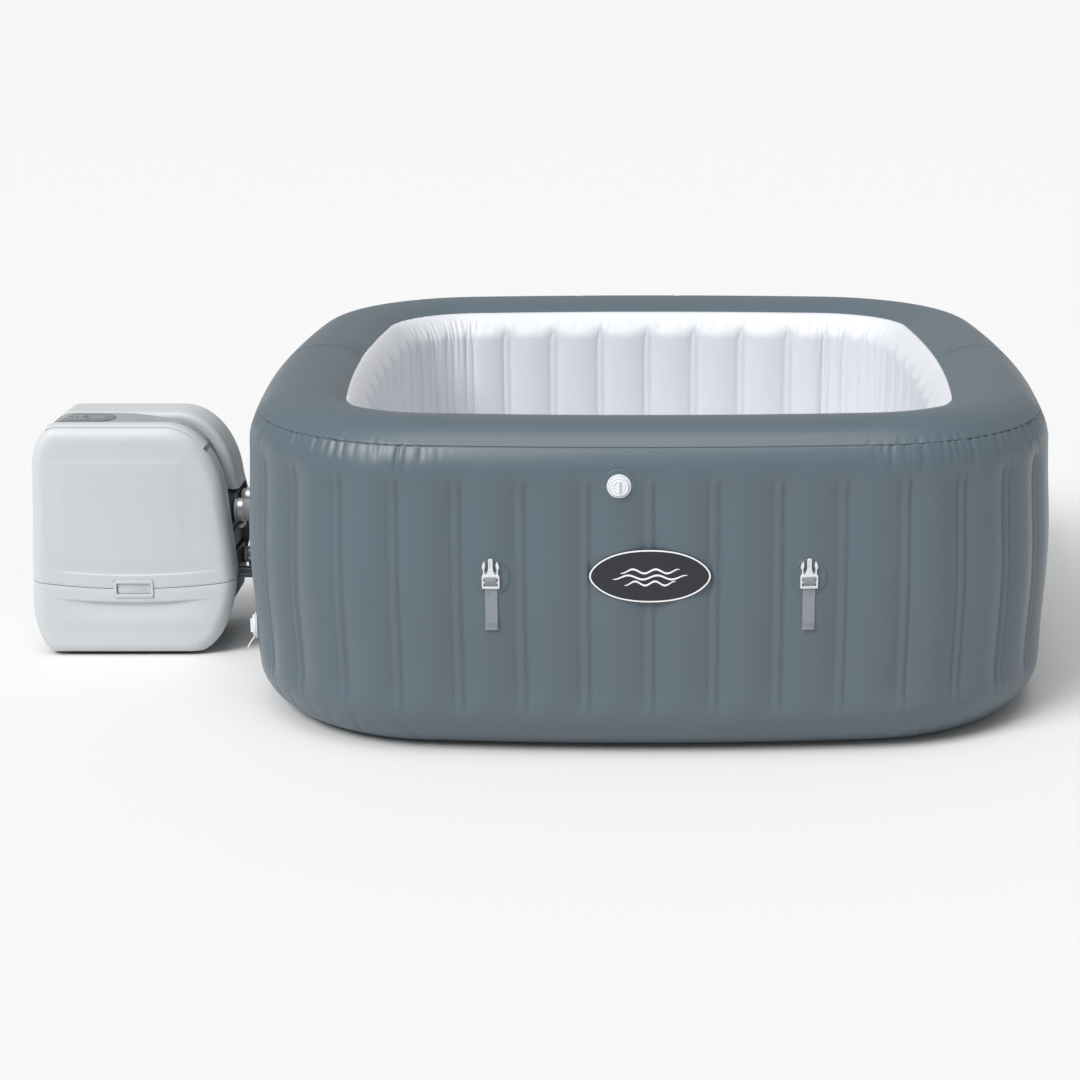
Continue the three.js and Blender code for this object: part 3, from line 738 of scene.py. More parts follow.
def ring_skin(name, line, relief, finish, fine=0.0044, coarse=0.013):
    """Sweeps a line of [inset, z] round the outline. relief(distance, row, line) gives how far
    each place moves out along the skin's normal. The back is a coarser copy, further in, that
    stays behind the relief."""
    line = np.array(line, float)
    rows = len(line)
    along = np.gradient(line, axis=0)
    along /= np.linalg.norm(along, axis=1)[:, None]
    outward = np.stack([-along[:, 1], along[:, 0]], -1)  # in [inset, z]
    distance = stations(fine, coarse)
    place, normal = outline(distance)
    columns = len(distance)
    u, row = np.meshgrid(distance, np.arange(rows), indexing="ij")
    lift = relief(u, row, line)
    inset = line[:, 0][None, :] + outward[:, 0][None, :] * lift
    height = line[:, 1][None, :] + outward[:, 1][None, :] * lift
    front = np.stack([
        place[:, 0, None] - normal[:, 0, None] * inset,
        place[:, 1, None] - normal[:, 1, None] * inset,
        height,
    ], -1)
    picked = np.unique(np.linspace(0, rows - 1, max(4, rows // 5)).round().astype(int))[::-1]
    deep = np.minimum(lift[:, picked], 0) - SKIN
    back_inset = line[picked, 0] + outward[picked, 0] * deep
    back_height = line[picked, 1] + outward[picked, 1] * deep
    back = np.stack([
        place[:, 0, None] - normal[:, 0, None] * back_inset,
        place[:, 1, None] - normal[:, 1, None] * back_inset,
        back_height,
    ], -1)
    grid = np.concatenate([front, back], 1)
    total = grid.shape[1]
    index = np.arange(columns * total).reshape(columns, total)
    after = np.roll(index, -1, 0)
    beside = np.roll(index, -1, 1)
    corner = np.roll(after, -1, 1)
    faces = np.stack([index, after, corner, beside], -1).reshape(-1, 4)
    piece = from_points(name, finish, grid.reshape(-1, 3).tolist(), faces.tolist())
    mesh = piece.data
    run = np.concatenate([[0], np.cumsum(np.linalg.norm(np.diff(line, axis=0), axis=1))])
    v = np.concatenate([run, run[picked]])
    layer = mesh.uv_layers.new(name="UVMap")
    u_all = np.repeat(distance, total)
    v_all = np.tile(v, columns)
    loops = np.empty(len(mesh.loops), int)
    mesh.loops.foreach_get("vertex_index", loops)
    u_loop = u_all[loops]
    last = np.repeat(faces[:, 0] // total == columns - 1, 4)
    u_loop = np.where(last & (loops // total == 0), ROUND, u_loop)
    layer.data.foreach_set("uv", np.stack([u_loop, v_all[loops]], -1).ravel().astype(np.float32))
    mesh.polygons.foreach_set("use_smooth", [True] * len(mesh.polygons))
    mesh.update()
    return piece


def between(rng, low, high):
    """A seeded random number between two values."""
    return low + (high - low) * rng.random()


def pleats(rng, spacing, sides=0.10):
    """Places round the tub of the short pleats that gather at its corners."""
    found = []
    for quarter in range(4):
        at = quarter * QUARTER + SIDE_LENGTH / 2 - sides
        end = at + CORNER_LENGTH + 2 * sides
        while at < end:
            found.append(at)
            at += spacing * (0.6 + 0.9 * rng.random())
    return found


def wall_lift(u, z):
    """How far the panels between the outside wall's weld strips stand out."""
    d = strip_distance(u)
    within = smooth((z - 0.075) / 0.075) * smooth((0.625 - z) / 0.075)
    along = smooth((z - 0.096) / 0.022) * smooth((0.598 - z) / 0.022)
    across = np.clip((d - STRIP_HALF) / (PITCH / 2 - STRIP_HALF), 0, 1)
    pillow = np.sin(across * math.pi / 2)
    band = np.where(d < STRIP_HALF, np.cos(d / STRIP_HALF * math.pi / 2) ** 0.7, 0)
    groove = np.exp(-((d - STRIP_HALF) / 0.0032) ** 2)
    return within * 0.0100 * (pillow - 0.85) + along * (0.0032 * band - 0.0014 * groove)


def outer_relief(u, row, line):
    """The outside wall's weld strips, gathered corners and creased foot."""
    rng = np.random.default_rng(SEED)
    z = line[:, 1][None, :] + 0 * u
    inset = line[:, 0][None, :] + 0 * u
    lift = wall_lift(u, z)
    for at in pleats(rng, 0.021):
        deep = between(rng, 0.0008, 0.0034)
        wide = between(rng, 0.0040, 0.0065)
        low = between(rng, 0.580, 0.622)
        lean = between(rng, -0.12, 0.12)
        gap = crossing(u, at + lean * (0.65 - z))
        run = smooth((z - low) / 0.03) * smooth((0.664 - z) / 0.012)
        lift -= deep * run * np.exp(-(gap / wide) ** 2) * corner_share(u)
    for at in pleats(rng, 0.055, 0.05):
        deep = between(rng, 0.0010, 0.0030)
        lean = between(rng, -0.9, 0.9)
        gap = crossing(u, at + lean * (z - 0.05))
        run = smooth((z - 0.012) / 0.02) * smooth((0.105 - z) / 0.04)
        lift -= deep * run * np.exp(-(gap / 0.009) ** 2) * corner_share(u, 0.05)
    under = smooth((inset - 0.06) / 0.03) * smooth((0.03 - z) / 0.02)
    return lift * (1 - under)


def outer_line():
    """The outside wall from the weld at its foot up to the rim's seam, as [inset, z]."""
    foot = [[SWELL + FOOT_RADIUS * (1 - math.sin(a)), FOOT_RADIUS * (1 - math.cos(a))]
            for a in np.linspace(0, math.pi / 2, 14)]
    heights = np.concatenate([np.linspace(0.119, 0.150, 5)[1:], np.linspace(0.150, 0.550, 11)[1:],
                              np.linspace(0.550, TUB_HEIGHT - TOP_RISE, 5)[1:-1]])
    wall = [[wall_inset(z), z] for z in heights]
    top = [top_point(a) for a in np.linspace(0, OUTER_SEAM, 15)]
    return [[WALL - 0.015, 0.0], [FOOT_RADIUS + 0.05, 0.0]] + foot + wall + top


# Where the rim's panel is joined across: place round the tub, depth and width of the crease.
RIM_JOINS = [
    (3 * QUARTER - 0.06, 0.0052, 0.0050),
    (1 * QUARTER + 0.02, 0.0030, 0.0045),
    (2 * QUARTER + 0.17, 0.0012, 0.0040),
    (2 * QUARTER - 0.10, 0.0012, 0.0040),
    (2.42 * QUARTER, 0.0014, 0.0040),
]


def rim_relief(u, row, line):
    """The rim's lapped edges, the joins across it and the gathers at its corners."""
    rng = np.random.default_rng(SEED + 1)
    angle = rim_angles()[row]
    outer_lap = smooth(1 - (angle - OUTER_SEAM) / math.radians(7))
    inner_lap = smooth(1 - (INNER_SEAM - angle) / math.radians(6))
    lift = 0.0009 * outer_lap + 0.0008 * inner_lap
    over = smooth((angle - OUTER_SEAM)
                  / math.radians(4)) * smooth((INNER_SEAM - angle) / math.radians(4))
    for at, deep, wide in RIM_JOINS:
        bow = 0.020 * np.sin(angle * 1.6) + 0.006 * np.sin(angle * 5)
        lift = lift - deep * (0.35 + 0.65 * over) * np.exp(-(crossing(u, at + bow) / wide) ** 2)
        for fold in range(5):
            off = (0.016 + 0.017 * fold) * (1 if fold % 2 else -1)
            inner = smooth((angle - math.radians(88 + 5 * fold)) / math.radians(30))
            gap = crossing(u, at + bow + off)
            lift = lift - 0.45 * deep * inner * np.exp(-(gap / 0.0055) ** 2)
    for at in pleats(rng, 0.030):
        deep, wide, reach, lean = (between(rng, low, high) for low, high in
                                   ((0.0004, 0.0020), (0.004, 0.007), (7, 16), (-0.10, 0.10)))
        run = smooth(1 - (angle - OUTER_SEAM) / math.radians(reach))
        gap = crossing(u, at + lean * (angle - OUTER_SEAM) * 0.12)
        lift = lift - deep * run * np.exp(-(gap / wide) ** 2) * corner_share(u)
    for at in pleats(rng, 0.050, 0.02):
        deep, wide, reach = (between(rng, low, high) for low, high in
                             ((0.0003, 0.0013), (0.009, 0.016), (22, 50)))
        run = smooth(1 - (INNER_SEAM - angle) / math.radians(reach))
        lift = lift - deep * run * np.exp(-(crossing(u, at) / wide) ** 2) * corner_share(u, 0.05)
    return lift


def rim_angles():
    """Angles over the rim, close together at its two seams."""
    start = OUTER_SEAM - 0.004
    return np.concatenate([
        start + np.array([0, 0.003, 0.01, 0.03, 0.06]),
        np.linspace(start + 0.10, INNER_SEAM - 0.10, 26),
        INNER_SEAM + 0.004 - np.array([0.06, 0.03, 0.01, 0.003, 0]),
    ])


def rim_line():
    return [top_point(a) for a in rim_angles()]


def liner_scale(u, inset):
    """How much shorter the liner is than the outline, at each place."""
    along = np.mod(u + SIDE_LENGTH / 2, QUARTER)
    in_corner = smooth((along - SIDE_LENGTH + 0.02)
                       / 0.04) * smooth((QUARTER - along + 0.02) / 0.04)
    on_side = 1 - inset / SIDE_RADIUS
    return on_side + ((CORNER_RADIUS - inset) / CORNER_RADIUS - on_side) * in_corner


def liner_relief(u, row, line):
    """The liner's weld strips, with panels that swell into the tub and gather under the rim."""
    rng = np.random.default_rng(SEED + 2)
    z = line[:, 1][None, :] + 0 * u
    scale = liner_scale(u, WALL)
    d = strip_distance(u) * scale
    half_panel = PITCH / 2 * scale
    taper = STRIP_HALF * (0.25 + 0.75 * smooth((0.640 - z) / 0.05))
    within = smooth((0.646 - z) / 0.035) * smooth((z - 0.05) / 0.05)
    across = np.clip((d - taper) / np.maximum(half_panel - taper, 0.004), 0, 1)
    pillow = np.sin(across * math.pi / 2) ** 0.7
    swell = 0.012 * np.clip(half_panel / (PITCH / 2), 0.35, 1)
    lift = within * swell * (pillow - 0.55)
    lift += within * 0.0016 * np.where(d < taper, np.cos(d / taper * math.pi / 2), 0)
    lift -= within * 0.0015 * np.exp(-((d - taper) / 0.0024) ** 2)
    for at in pleats(rng, 0.034, 0.05):
        deep, wide, low, lean = (between(rng, a, b) for a, b in
                                 ((0.0008, 0.0028), (0.006, 0.012), (0.45, 0.62), (-0.25, 0.25)))
        gap = crossing(u, at + lean * (0.67 - z) * 0.4)
        run = smooth((z - low) / 0.06) * smooth((0.664 - z) / 0.02)
        lift -= deep * run * np.exp(-(gap / wide) ** 2) * corner_share(u, 0.04)
    for at in np.arange(0, ROUND, PITCH / 4):
        shift, deep, low, lean = (between(rng, a, b) for a, b in
                                  ((-0.012, 0.012), (0.0004, 0.0018), (0.59, 0.63), (-0.5, 0.5)))
        gap = crossing(u, at + shift + lean * (0.66 - z))
        run = smooth((z - low) / 0.03) * smooth((0.664 - z) / 0.012)
        lift -= deep * run * np.exp(-(gap / 0.006) ** 2)
    return lift


def liner_line():
    """The liner from the rim's inside seam down to the floor sheet, as [inset, z]."""
    toe = 0.028
    hem = 0.0064
    top = [top_point(a) for a in np.linspace(INNER_SEAM, math.pi, 14)]
    wall = [[WALL, z] for z in np.linspace(TUB_HEIGHT - INNER_RISE, hem + toe, 24)[1:-1]]
    foot = [[WALL + toe * (1 - math.cos(a)), hem + toe * (1 - math.sin(a))]
            for a in np.linspace(0, math.pi / 2, 7)]
    return top + wall + foot


def tub_floor():
    """The floor sheet: flat on the ground, with the creases that it was packed with."""
    rings = 46
    around = stations(0.02, 0.02)
    place, normal = outline(around)
    edge = WALL - WELD_LAP
    verts, faces = [], []
    for ring in range(rings + 1):
        share = 1 - (ring / rings)
        inset = place - normal * edge
        flat = inset * max(share, 0.004)
        size = np.linalg.norm(flat, axis=1)
        height = 0.0032 + 0 * size
        for turn in (0, math.pi / 2):
            across = flat[:, 0] * math.cos(turn) + flat[:, 1] * math.sin(turn)
            for fold in (-0.22, 0.22):
                height = height + 0.0012 * np.exp(-((across - fold)
                                                    / 0.006) ** 2) * smooth(share * 3)
        height = height + 0.0010 * np.sin(flat[:, 0] * 19
                                          + 1.3) * np.sin(flat[:, 1] * 17
                                                          + 0.4) * smooth((1 - share) * 12)
        verts += [(x, y, max(z, 0.0022)) for (x, y), z in zip(flat, height)]
    columns = len(around)
    for ring in range(rings):
        for i in range(columns):
            j = (i + 1) % columns
            faces.append((ring * columns + i, ring * columns + j, (ring + 1) * columns + j,
                          (ring + 1) * columns + i))
    faces.append(tuple(rings * columns + i for i in range(columns)))
    under = len(verts)
    verts += [(x, y, 0.0) for x, y in place - normal * edge]
    for i in range(columns):
        j = (i + 1) % columns
        faces.append((under + i, under + j, j, i))
    faces.append(tuple(reversed([under + i for i in range(columns)])))
    piece = from_points("tub_floor_sheet", "liner", verts, faces)
    mesh = piece.data
    layer = mesh.uv_layers.new(name="UVMap")
    for loop in mesh.loops:
        layer.data[loop.index].uv = mesh.vertices[loop.vertex_index].co[:2]
    mesh.polygons.foreach_set("use_smooth", [True] * len(mesh.polygons))
    return piece


def tub():
    for name, line, relief, finish, node in (
        ("outer_wall_skin", outer_line(), outer_relief, "outer", "outer_wall"),
        ("rim_skin", rim_line(), rim_relief, "outer", "top_panel"),
        ("liner_skin", liner_line(), liner_relief, "liner", "liner_wall"),
    ):
        piece = ring_skin(name, line, relief, finish)
        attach(piece, "root")
        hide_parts(node)
    floor = tub_floor()
    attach(floor, "root")
    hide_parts("tub_floor")


# ---- Pump unit ----

PUMP_X = -1.444
CASE_WIDTH = 0.478
CASE_HEIGHT = 0.548
CASE_FRONT = -0.200
FRONT_BACK = -0.135
REAR_FRONT = -0.020
REAR_BACK = 0.115
PORT_FACE = 0.459
SPIGOT_END = 942  # from the tub's middle to a spigot's mouth, in millimetres
BASE_THICK = 0.010
SPLIT_HEIGHT = 0.166
SCOOP_TOP = 0.1338  # the crease under the split
SHELF_FOOT = 0.1975  # the crease over it
FIELD_FOOT = 0.236
FIELD_TOP = 0.472
CHANNEL = 0.028
LATCH_X = 0.242
CASE = dict(width=CASE_WIDTH, height=CASE_HEIGHT, lean_left=0.018, lean=0.017,
            foot_left=(0.060, 0.110),
            foot_right=(0.113, 0.165), crown_left=(0.060, 0.100), crown_right=(0.137, 0.165))
REAR = {**CASE, "foot_right": (0.160, 0.300)}  # the rear cover's right foot is drawn in more
LID_ENDS = (0.058, 0.424)
LID_FRONT = -0.179  # the lid's lip reaches over the front cover to here


def bezier(a, b, c, d, steps):
    t = np.linspace(0, 1, steps, endpoint=False)[:, None]
    a, b, c, d = (np.array(p, float) for p in (a, b, c, d))
    return a * (1 - t) ** 3 + 3 * b * t * (1 - t) ** 2 + 3 * c * t * t * (1 - t) + d * t ** 3


def straight(a, b, steps):
    a, b = np.array(a, float), np.array(b, float)
    return a + (b - a) * np.linspace(0, 1, steps, endpoint=False)[:, None]


def casing_outline(width, height, lean_left, lean, foot_left, foot_right, crown_left, crown_right,
                   inset=0.0):
    """The casing's outline as [x, z] seen from the front, with x from the unit's left side."""
    k, blunt = 0.5523, 0.47
    right, left = width - lean, lean_left
    points = np.concatenate([
        straight((foot_left[0], 0), (width - foot_right[0], 0), 8),
        bezier((width - foot_right[0], 0), (width - foot_right[0] * (1 - blunt), 0),
               (width, foot_right[1] * (1 - blunt)), (width, foot_right[1]), 18),
        straight((width, foot_right[1]), (right, height - crown_right[1]), 8),
        bezier((right, height - crown_right[1]),
               (right - lean * 0.4, height - crown_right[1] * (1 - k)),
               (right - crown_right[0] * (1 - k), height), (right - crown_right[0], height), 20),
        straight((right - crown_right[0], height), (left + crown_left[0], height), 8),
        bezier((left + crown_left[0], height), (left + crown_left[0] * (1 - k), height),
               (left, height - crown_left[1] * (1 - k)), (left, height - crown_left[1]), 16),
        straight((left, height - crown_left[1]), (0, foot_left[1]), 8),
        bezier((0, foot_left[1]), (0, foot_left[1] * (1 - k)), (foot_left[0] * (1 - k), 0),
               (foot_left[0], 0), 14),
    ])
    scale = np.array([(width - 2 * inset) / width, (height - 2 * inset) / height])
    return points * scale + inset


def drawn_out(name, outline_points, start, depths):
    """A closed block: an outline in the XZ plane drawn out along Y in steps."""
    bpy.ops.object.select_all(action="DESELECT")
    bpy.ops.mesh.primitive_circle_add(vertices=len(outline_points), radius=0.1, fill_type="NGON")
    piece = bpy.context.object
    piece.name = name
    for vertex, (x, z) in zip(piece.data.vertices, outline_points):
        vertex.co = (x + PUMP_X, start, z)
    bpy.ops.object.mode_set(mode="EDIT")
    bpy.context.tool_settings.mesh_select_mode = (False, False, True)
    bpy.ops.mesh.select_all(action="SELECT")
    for depth in depths:
        bpy.ops.mesh.extrude_region_move(TRANSFORM_OT_translate={"value": (0, depth, 0)})
    bpy.ops.object.mode_set(mode="OBJECT")
    return made_whole(piece)


def end_face(piece, side):
    """Selects the flat end of a drawn-out block: side is the sign of its y."""
    end = max(vertex.co.y * side for vertex in piece.data.vertices)
    select_faces(piece, lambda centre,
                 normal: normal.y * side > 0.99 and centre.y * side > end - 0.0001)


def rounded_end(piece, side, radius, steps=7):
    """Rounds over a block's end by insetting it in steps, each one deeper than the last."""
    end_face(piece, side)
    across = out = 0.0
    for step in range(1, steps + 1):
        angle = step / steps * math.pi / 2
        next_across, next_out = radius * (1 - math.cos(angle)), radius * math.sin(angle)
        bpy.ops.mesh.inset(thickness=next_across - across, depth=next_out - out,
                           use_even_offset=True)
        across, out = next_across, next_out
    bpy.ops.object.mode_set(mode="OBJECT")


def opened_end(piece, side):
    """Takes away the flat end of a drawn-out block."""
    end_face(piece, side)
    bpy.ops.mesh.delete(type="FACE")
    bpy.ops.object.mode_set(mode="OBJECT")


def sliced(piece, columns=(), rows=()):
    """Cuts new edge loops across a piece at places along X and Z."""
    alone(piece)
    bpy.ops.object.mode_set(mode="EDIT")
    for places, axis in ((columns, (1, 0, 0)), (rows, (0, 0, 1))):
        for place in places:
            bpy.ops.mesh.select_all(action="SELECT")
            bpy.ops.mesh.bisect(plane_co=[place * part for part in axis], plane_no=axis)
    bpy.ops.object.mode_set(mode="OBJECT")


def trimmed(piece, height, keep_above=True):
    """Cuts a piece off at a height and keeps one side."""
    edited(piece)
    bpy.ops.mesh.bisect(plane_co=(0, 0, height), plane_no=(0, 0, 1), clear_inner=keep_above,
                        clear_outer=not keep_above)
    bpy.ops.object.mode_set(mode="OBJECT")


def moved_by(piece, change):
    """Moves every vertex by a function of its places, all at once."""
    co = np.empty(len(piece.data.vertices) * 3, np.float64)
    piece.data.vertices.foreach_get("co", co)
    co = change(co.reshape(-1, 3))
    piece.data.vertices.foreach_set("co", co.ravel())
    piece.data.update()


def smile(x, z):
    """How far the lines across the casing's front rise towards its sides."""
    across = (x - PUMP_X - CASE_WIDTH / 2) / (CASE_WIDTH / 2)
    weight = smooth((z - 0.035) / 0.085) * smooth((0.330 - z) / 0.110)
    return 0.017 * across ** 2 * weight


def front_relief(co):
    """The front's crown, the scoop below its split, the shelf above it and the soft raised field.
    The cover's lower right corner is drawn in."""
    x, y, z = co.T.copy()
    on_face = smooth((FRONT_BACK - 0.035 - y) / 0.028)
    left = x - PUMP_X
    across = (left - CASE_WIDTH / 2) / (CASE_WIDTH / 2)
    up = (z - 0.29) / 0.26
    y = y + 0.0045 * (0.5 * across ** 2 + 0.5 * up ** 2) * on_face
    middle = smooth((left - 0.045) / 0.13) * smooth((0.433 - left) / 0.13)
    scoop = smooth((SCOOP_TOP - z) / 0.0036) * smooth((z - 0.082) / 0.048)
    y = y + 0.0078 * middle * scoop * on_face
    shelf = smooth((z - SHELF_FOOT) / 0.0030) * smooth((0.240 - z) / 0.036)
    y = y + 0.0020 * smooth((left - 0.045) / 0.05) * smooth((0.433 - left) / 0.05) * shelf * on_face
    field_x = smooth((left - 0.060) / 0.030) * smooth((0.378 - left) / 0.030)
    field = field_x * smooth((z - FIELD_FOOT) / 0.020) * smooth((FIELD_TOP - z) / 0.005)
    y = y + 0.0014 * (1 - field) * smooth((z - FIELD_FOOT) / 0.060) * on_face
    low = smooth((0.080 - z) / 0.020)
    y = y + 0.0016 * low * on_face
    drawn_in = smooth((y + 0.172) / 0.037) * smooth((left - 0.300)
                                                    / 0.130) * smooth((0.200 - z) / 0.130)
    x = x - 0.022 * drawn_in
    z = z + smile(x, z)
    return np.stack([x, y, z], -1)


def front_shell(name):
    piece = drawn_out(name, casing_outline(**CASE), FRONT_BACK, [-0.009, -0.009, -0.009, -0.008])
    rounded_end(piece, -1, 0.030)
    opened_end(piece, 1)
    columns = [PUMP_X + x
               for x in (0.02, 0.045, 0.067, 0.072, 0.078, 0.084, 0.10, 0.125, 0.15, 0.175, 0.20,
                                    0.225, 0.25, 0.275, 0.30, 0.325, 0.345, 0.355, 0.361, 0.366,
                         0.371, 0.39, 0.415, 0.44,
                                    0.46)]
    rows = [0.03, 0.045, 0.060, 0.066, 0.072, 0.080, 0.088, 0.096, 0.104, 0.112, 0.120, 0.126,
            0.1295, 0.1308, 0.1320,
            0.1332, 0.1345, 0.139, 0.150, 0.175, 0.188, 0.1955, 0.1972, 0.1984, 0.1995, 0.2008,
            0.204, 0.210, 0.218,
            0.226, 0.236, 0.242, 0.249, 0.256, 0.27, 0.295, 0.32, 0.345, 0.37, 0.395, 0.42, 0.445,
            0.461, 0.466, 0.470, 0.475, 0.485, 0.50, 0.515]
    sliced(piece, columns, rows)
    return piece


def latch_hole():
    return block("latch_hole", "casing",
                 (PUMP_X + LATCH_X - 0.0464, CASE_FRONT - 0.02, SPLIT_HEIGHT - 0.0214),
                 (PUMP_X + LATCH_X + 0.0464, CASE_FRONT + 0.02, SPLIT_HEIGHT + 0.0214), 0.004)


def front_covers():
    """The front half of the casing, cut at the split into the front cover and the lower cover."""
    for name, above in (("front_cover", True), ("lower_cover", False)):
        piece = front_shell(name + "_shell")
        trimmed(piece, SPLIT_HEIGHT + (0.0008 if above else -0.0008), above)
        if not above:
            trimmed(piece, BASE_THICK)
        moved_by(piece, front_relief)
        walled(piece)
        softened(piece, 0.0009, 2, 55)
        cut_with(piece, latch_hole())
        if above:
            cut_with(piece, block("lid_notch", "casing",
                                  (PUMP_X + LID_ENDS[0] - 0.0014, LID_FRONT - 0.0010, 0.44),
                                  (PUMP_X + LID_ENDS[1] + 0.0008, 0.0, 0.60), 0))
        painted(piece, "casing")
        smoothed(piece, 40)
        fitted(piece, "root" if above else "lower_cover", [name])


def rear_cover():
    """The back half of the casing, with its air slots and the window beside the ports."""
    piece = drawn_out("rear_cover_shell", casing_outline(**REAR), REAR_FRONT + 0.013, [0.0225] * 4)
    rounded_end(piece, 1, 0.032)
    rounded_end(piece, -1, 0.013, 6)
    end_face(piece, -1)
    bpy.ops.mesh.inset(thickness=0.009, depth=-0.0015, use_even_offset=True)
    bpy.ops.mesh.inset(thickness=0.009, depth=-0.0020, use_even_offset=True)
    bpy.ops.mesh.delete(type="FACE")
    bpy.ops.object.mode_set(mode="OBJECT")
    sliced(piece, [PUMP_X + x for x in np.arange(0.04, 0.46, 0.03)], np.arange(0.04, 0.55, 0.03))
    def crowned(co):
        x, y, z = co.T.copy()
        on_back = smooth((y - 0.085) / 0.028)
        far = ((x - PUMP_X - 0.24) / 0.24) ** 2 + ((z - 0.287) / 0.287) ** 2
        y = y - 0.004 * far * on_back
        field = smooth((x - PUMP_X - 0.075) / 0.02) * smooth((0.405 - x + PUMP_X) / 0.02)
        field = field * smooth((z - 0.09) / 0.02) * smooth((0.49 - z) / 0.02)
        return np.stack([x, y - 0.003 * field * on_back, z], -1)
    moved_by(piece, crowned)
    trimmed(piece, BASE_THICK)
    walled(piece)
    softened(piece, 0.0008, 2, 55)
    window = block("window", "casing", (PUMP_X + PORT_FACE - 0.054, REAR_FRONT - 0.002, 0.096),
                   (PUMP_X + 0.6, 0.088, 0.362), 0.006)
    cut_with(piece, window)
    slots = []
    for row in range(10):
        for side in (-1, 1):
            middle = PUMP_X + 0.24 + side * 0.075
            height = 0.330 + row * 0.0125
            slots.append(block("slot", "casing", (middle - 0.055, 0.09, height),
                               (middle + 0.055, 0.135, height + 0.0055), 0.0025, 2))
    cut_with(piece, joined("slots", slots))
    smoothed(piece, 40)
    painted(piece, "casing")
    fitted(piece, "root", ["rear_cover"])


def inner_frame():
    """The channel between the covers. At the left it is filled, flush with them."""
    start, end = FRONT_BACK + 0.0004, REAR_FRONT - 0.0004
    made = []
    for name, inset in (("channel", CHANNEL), ("cheek", 0.0)):
        piece = drawn_out(name, casing_outline(**CASE, inset=inset), start, [(end - start) / 4] * 4)
        opened_end(piece, -1)
        opened_end(piece, 1)
        trimmed(piece, BASE_THICK)
        walled(piece, 0.003)
        made.append(piece)
    channel, cheek = made
    cut_with(channel, block("window", "casing", (PUMP_X + 0.333, -0.3, 0.096),
                            (PUMP_X + 0.7, 0.3, 0.362), 0))
    cut_with(cheek, block("rest", "casing", (PUMP_X + LID_ENDS[0] - 0.0014, -0.3, -0.1),
                          (PUMP_X + 0.7, 0.3, 0.7), 0))
    for piece in made:
        # The channel gets the darker casing colour, which is painted shade.
        painted(piece, "casing_painted_shade" if piece == channel else "casing")
        smoothed(piece, 40)
    fitted(joined("channel_frame", made), "root", ["inner_frame"])


def panel_outline(grow=0.0):
    """The control panel: slanted at its left end and rounded at its right. x, y on the deck."""
    points = np.concatenate([
        straight((0.070 - grow, -0.122 - grow), (0.160, -0.122 - grow), 4),
        bezier((0.160, -0.122 - grow), (0.182, -0.122 - grow), (0.196 + grow, -0.100),
               (0.196 + grow, -0.078), 14),
        bezier((0.196 + grow, -0.078), (0.196 + grow, -0.056), (0.182, -0.034 + grow),
               (0.160, -0.034 + grow), 14),
        straight((0.160, -0.034 + grow), (0.090 - grow, -0.034 + grow), 4),
        straight((0.090 - grow, -0.034 + grow), (0.070 - grow, -0.122 - grow), 4),
    ])
    return [(x + PUMP_X, y) for x, y in points]


def lid_relief(co):
    """Rolls the lid's front lip, and sinks the deck behind it more and more towards the right."""
    rim = casing_outline(**CASE)
    after = np.roll(rim, -1, 0) - np.roll(rim, 1, 0)
    outward = np.stack([after[:, 1], -after[:, 0]], -1) / np.linalg.norm(after, axis=1)[:, None]
    flat = co[:, [0, 2]] - [PUMP_X, 0]
    gap = np.linalg.norm(flat[:, None, :] - rim[None, :, :], axis=2)
    nearest = gap.argmin(1)
    on_rim = gap.min(1) < 0.0004
    left, y = flat[:, 0], co[:, 1]
    rolled = 0.030 - np.sqrt(0.030 ** 2 - np.clip(CASE_FRONT + 0.030 - y, 0, 0.029) ** 2)
    from_crest = (y - LID_FRONT - 0.0225) / 0.0235
    lip = 0.0062 * np.sqrt(np.clip(1 - from_crest ** 2, 0, 1)) - 0.0012 - rolled
    sunk = 0.0008 + 0.0235 * smooth((left - 0.200) / 0.215)
    deck = -sunk * smooth((y - LID_FRONT - 0.040) / (0.004 + 0.5 * sunk))
    lift = np.where(y < LID_FRONT + 0.0455, np.maximum(lip, deck), deck)
    moved = flat + outward[nearest] * (lift * on_rim)[:, None]
    return np.stack([moved[:, 0] + PUMP_X, y, moved[:, 1]], -1)


def top_lid():
    """The deck between the covers. Its lip rolls over the front one, and the control panel sits in
    a pocket."""
    low, high = LID_ENDS
    rim = [p for p in casing_outline(**CASE) if p[1] > 0.40 and low < p[0] < high]
    under = [p for p in casing_outline(**CASE, inset=CHANNEL - 0.0004) if p[1] > 0.40
             and low + 0.004 < p[0] < high - 0.020]
    steps = [0.0004, 0.0008, 0.0014, 0.0024, 0.0036, 0.0046, 0.0052, 0.0052, 0.0048, 0.0044, 0.0034,
             0.0024, 0.0018, 0.0016, 0.0018, 0.0022, 0.0026, 0.0030, 0.0040, 0.0060, 0.0080]
    left_over = REAR_FRONT - 0.0004 - LID_FRONT - sum(steps)
    piece = drawn_out("deck_lid", rim + under[::-1], LID_FRONT, steps + [left_over / 8] * 8)
    moved_by(piece, lid_relief)
    pocket = flat_plate("pocket", "casing", [panel_outline(0.0005)], 0.02, 0.0001,
                        at=(0, 0, CASE_HEIGHT - 0.0034))
    cut_with(piece, pocket)
    # Deck faces behind the lip get the darker casing colour, which is painted shade.
    painted(piece, "casing", "casing_painted_shade")
    for face in piece.data.polygons:
        face.material_index = int(face.center.y > LID_FRONT + 0.0450)
    smoothed(piece, 40)
    fitted(piece, "root", ["top_lid"])


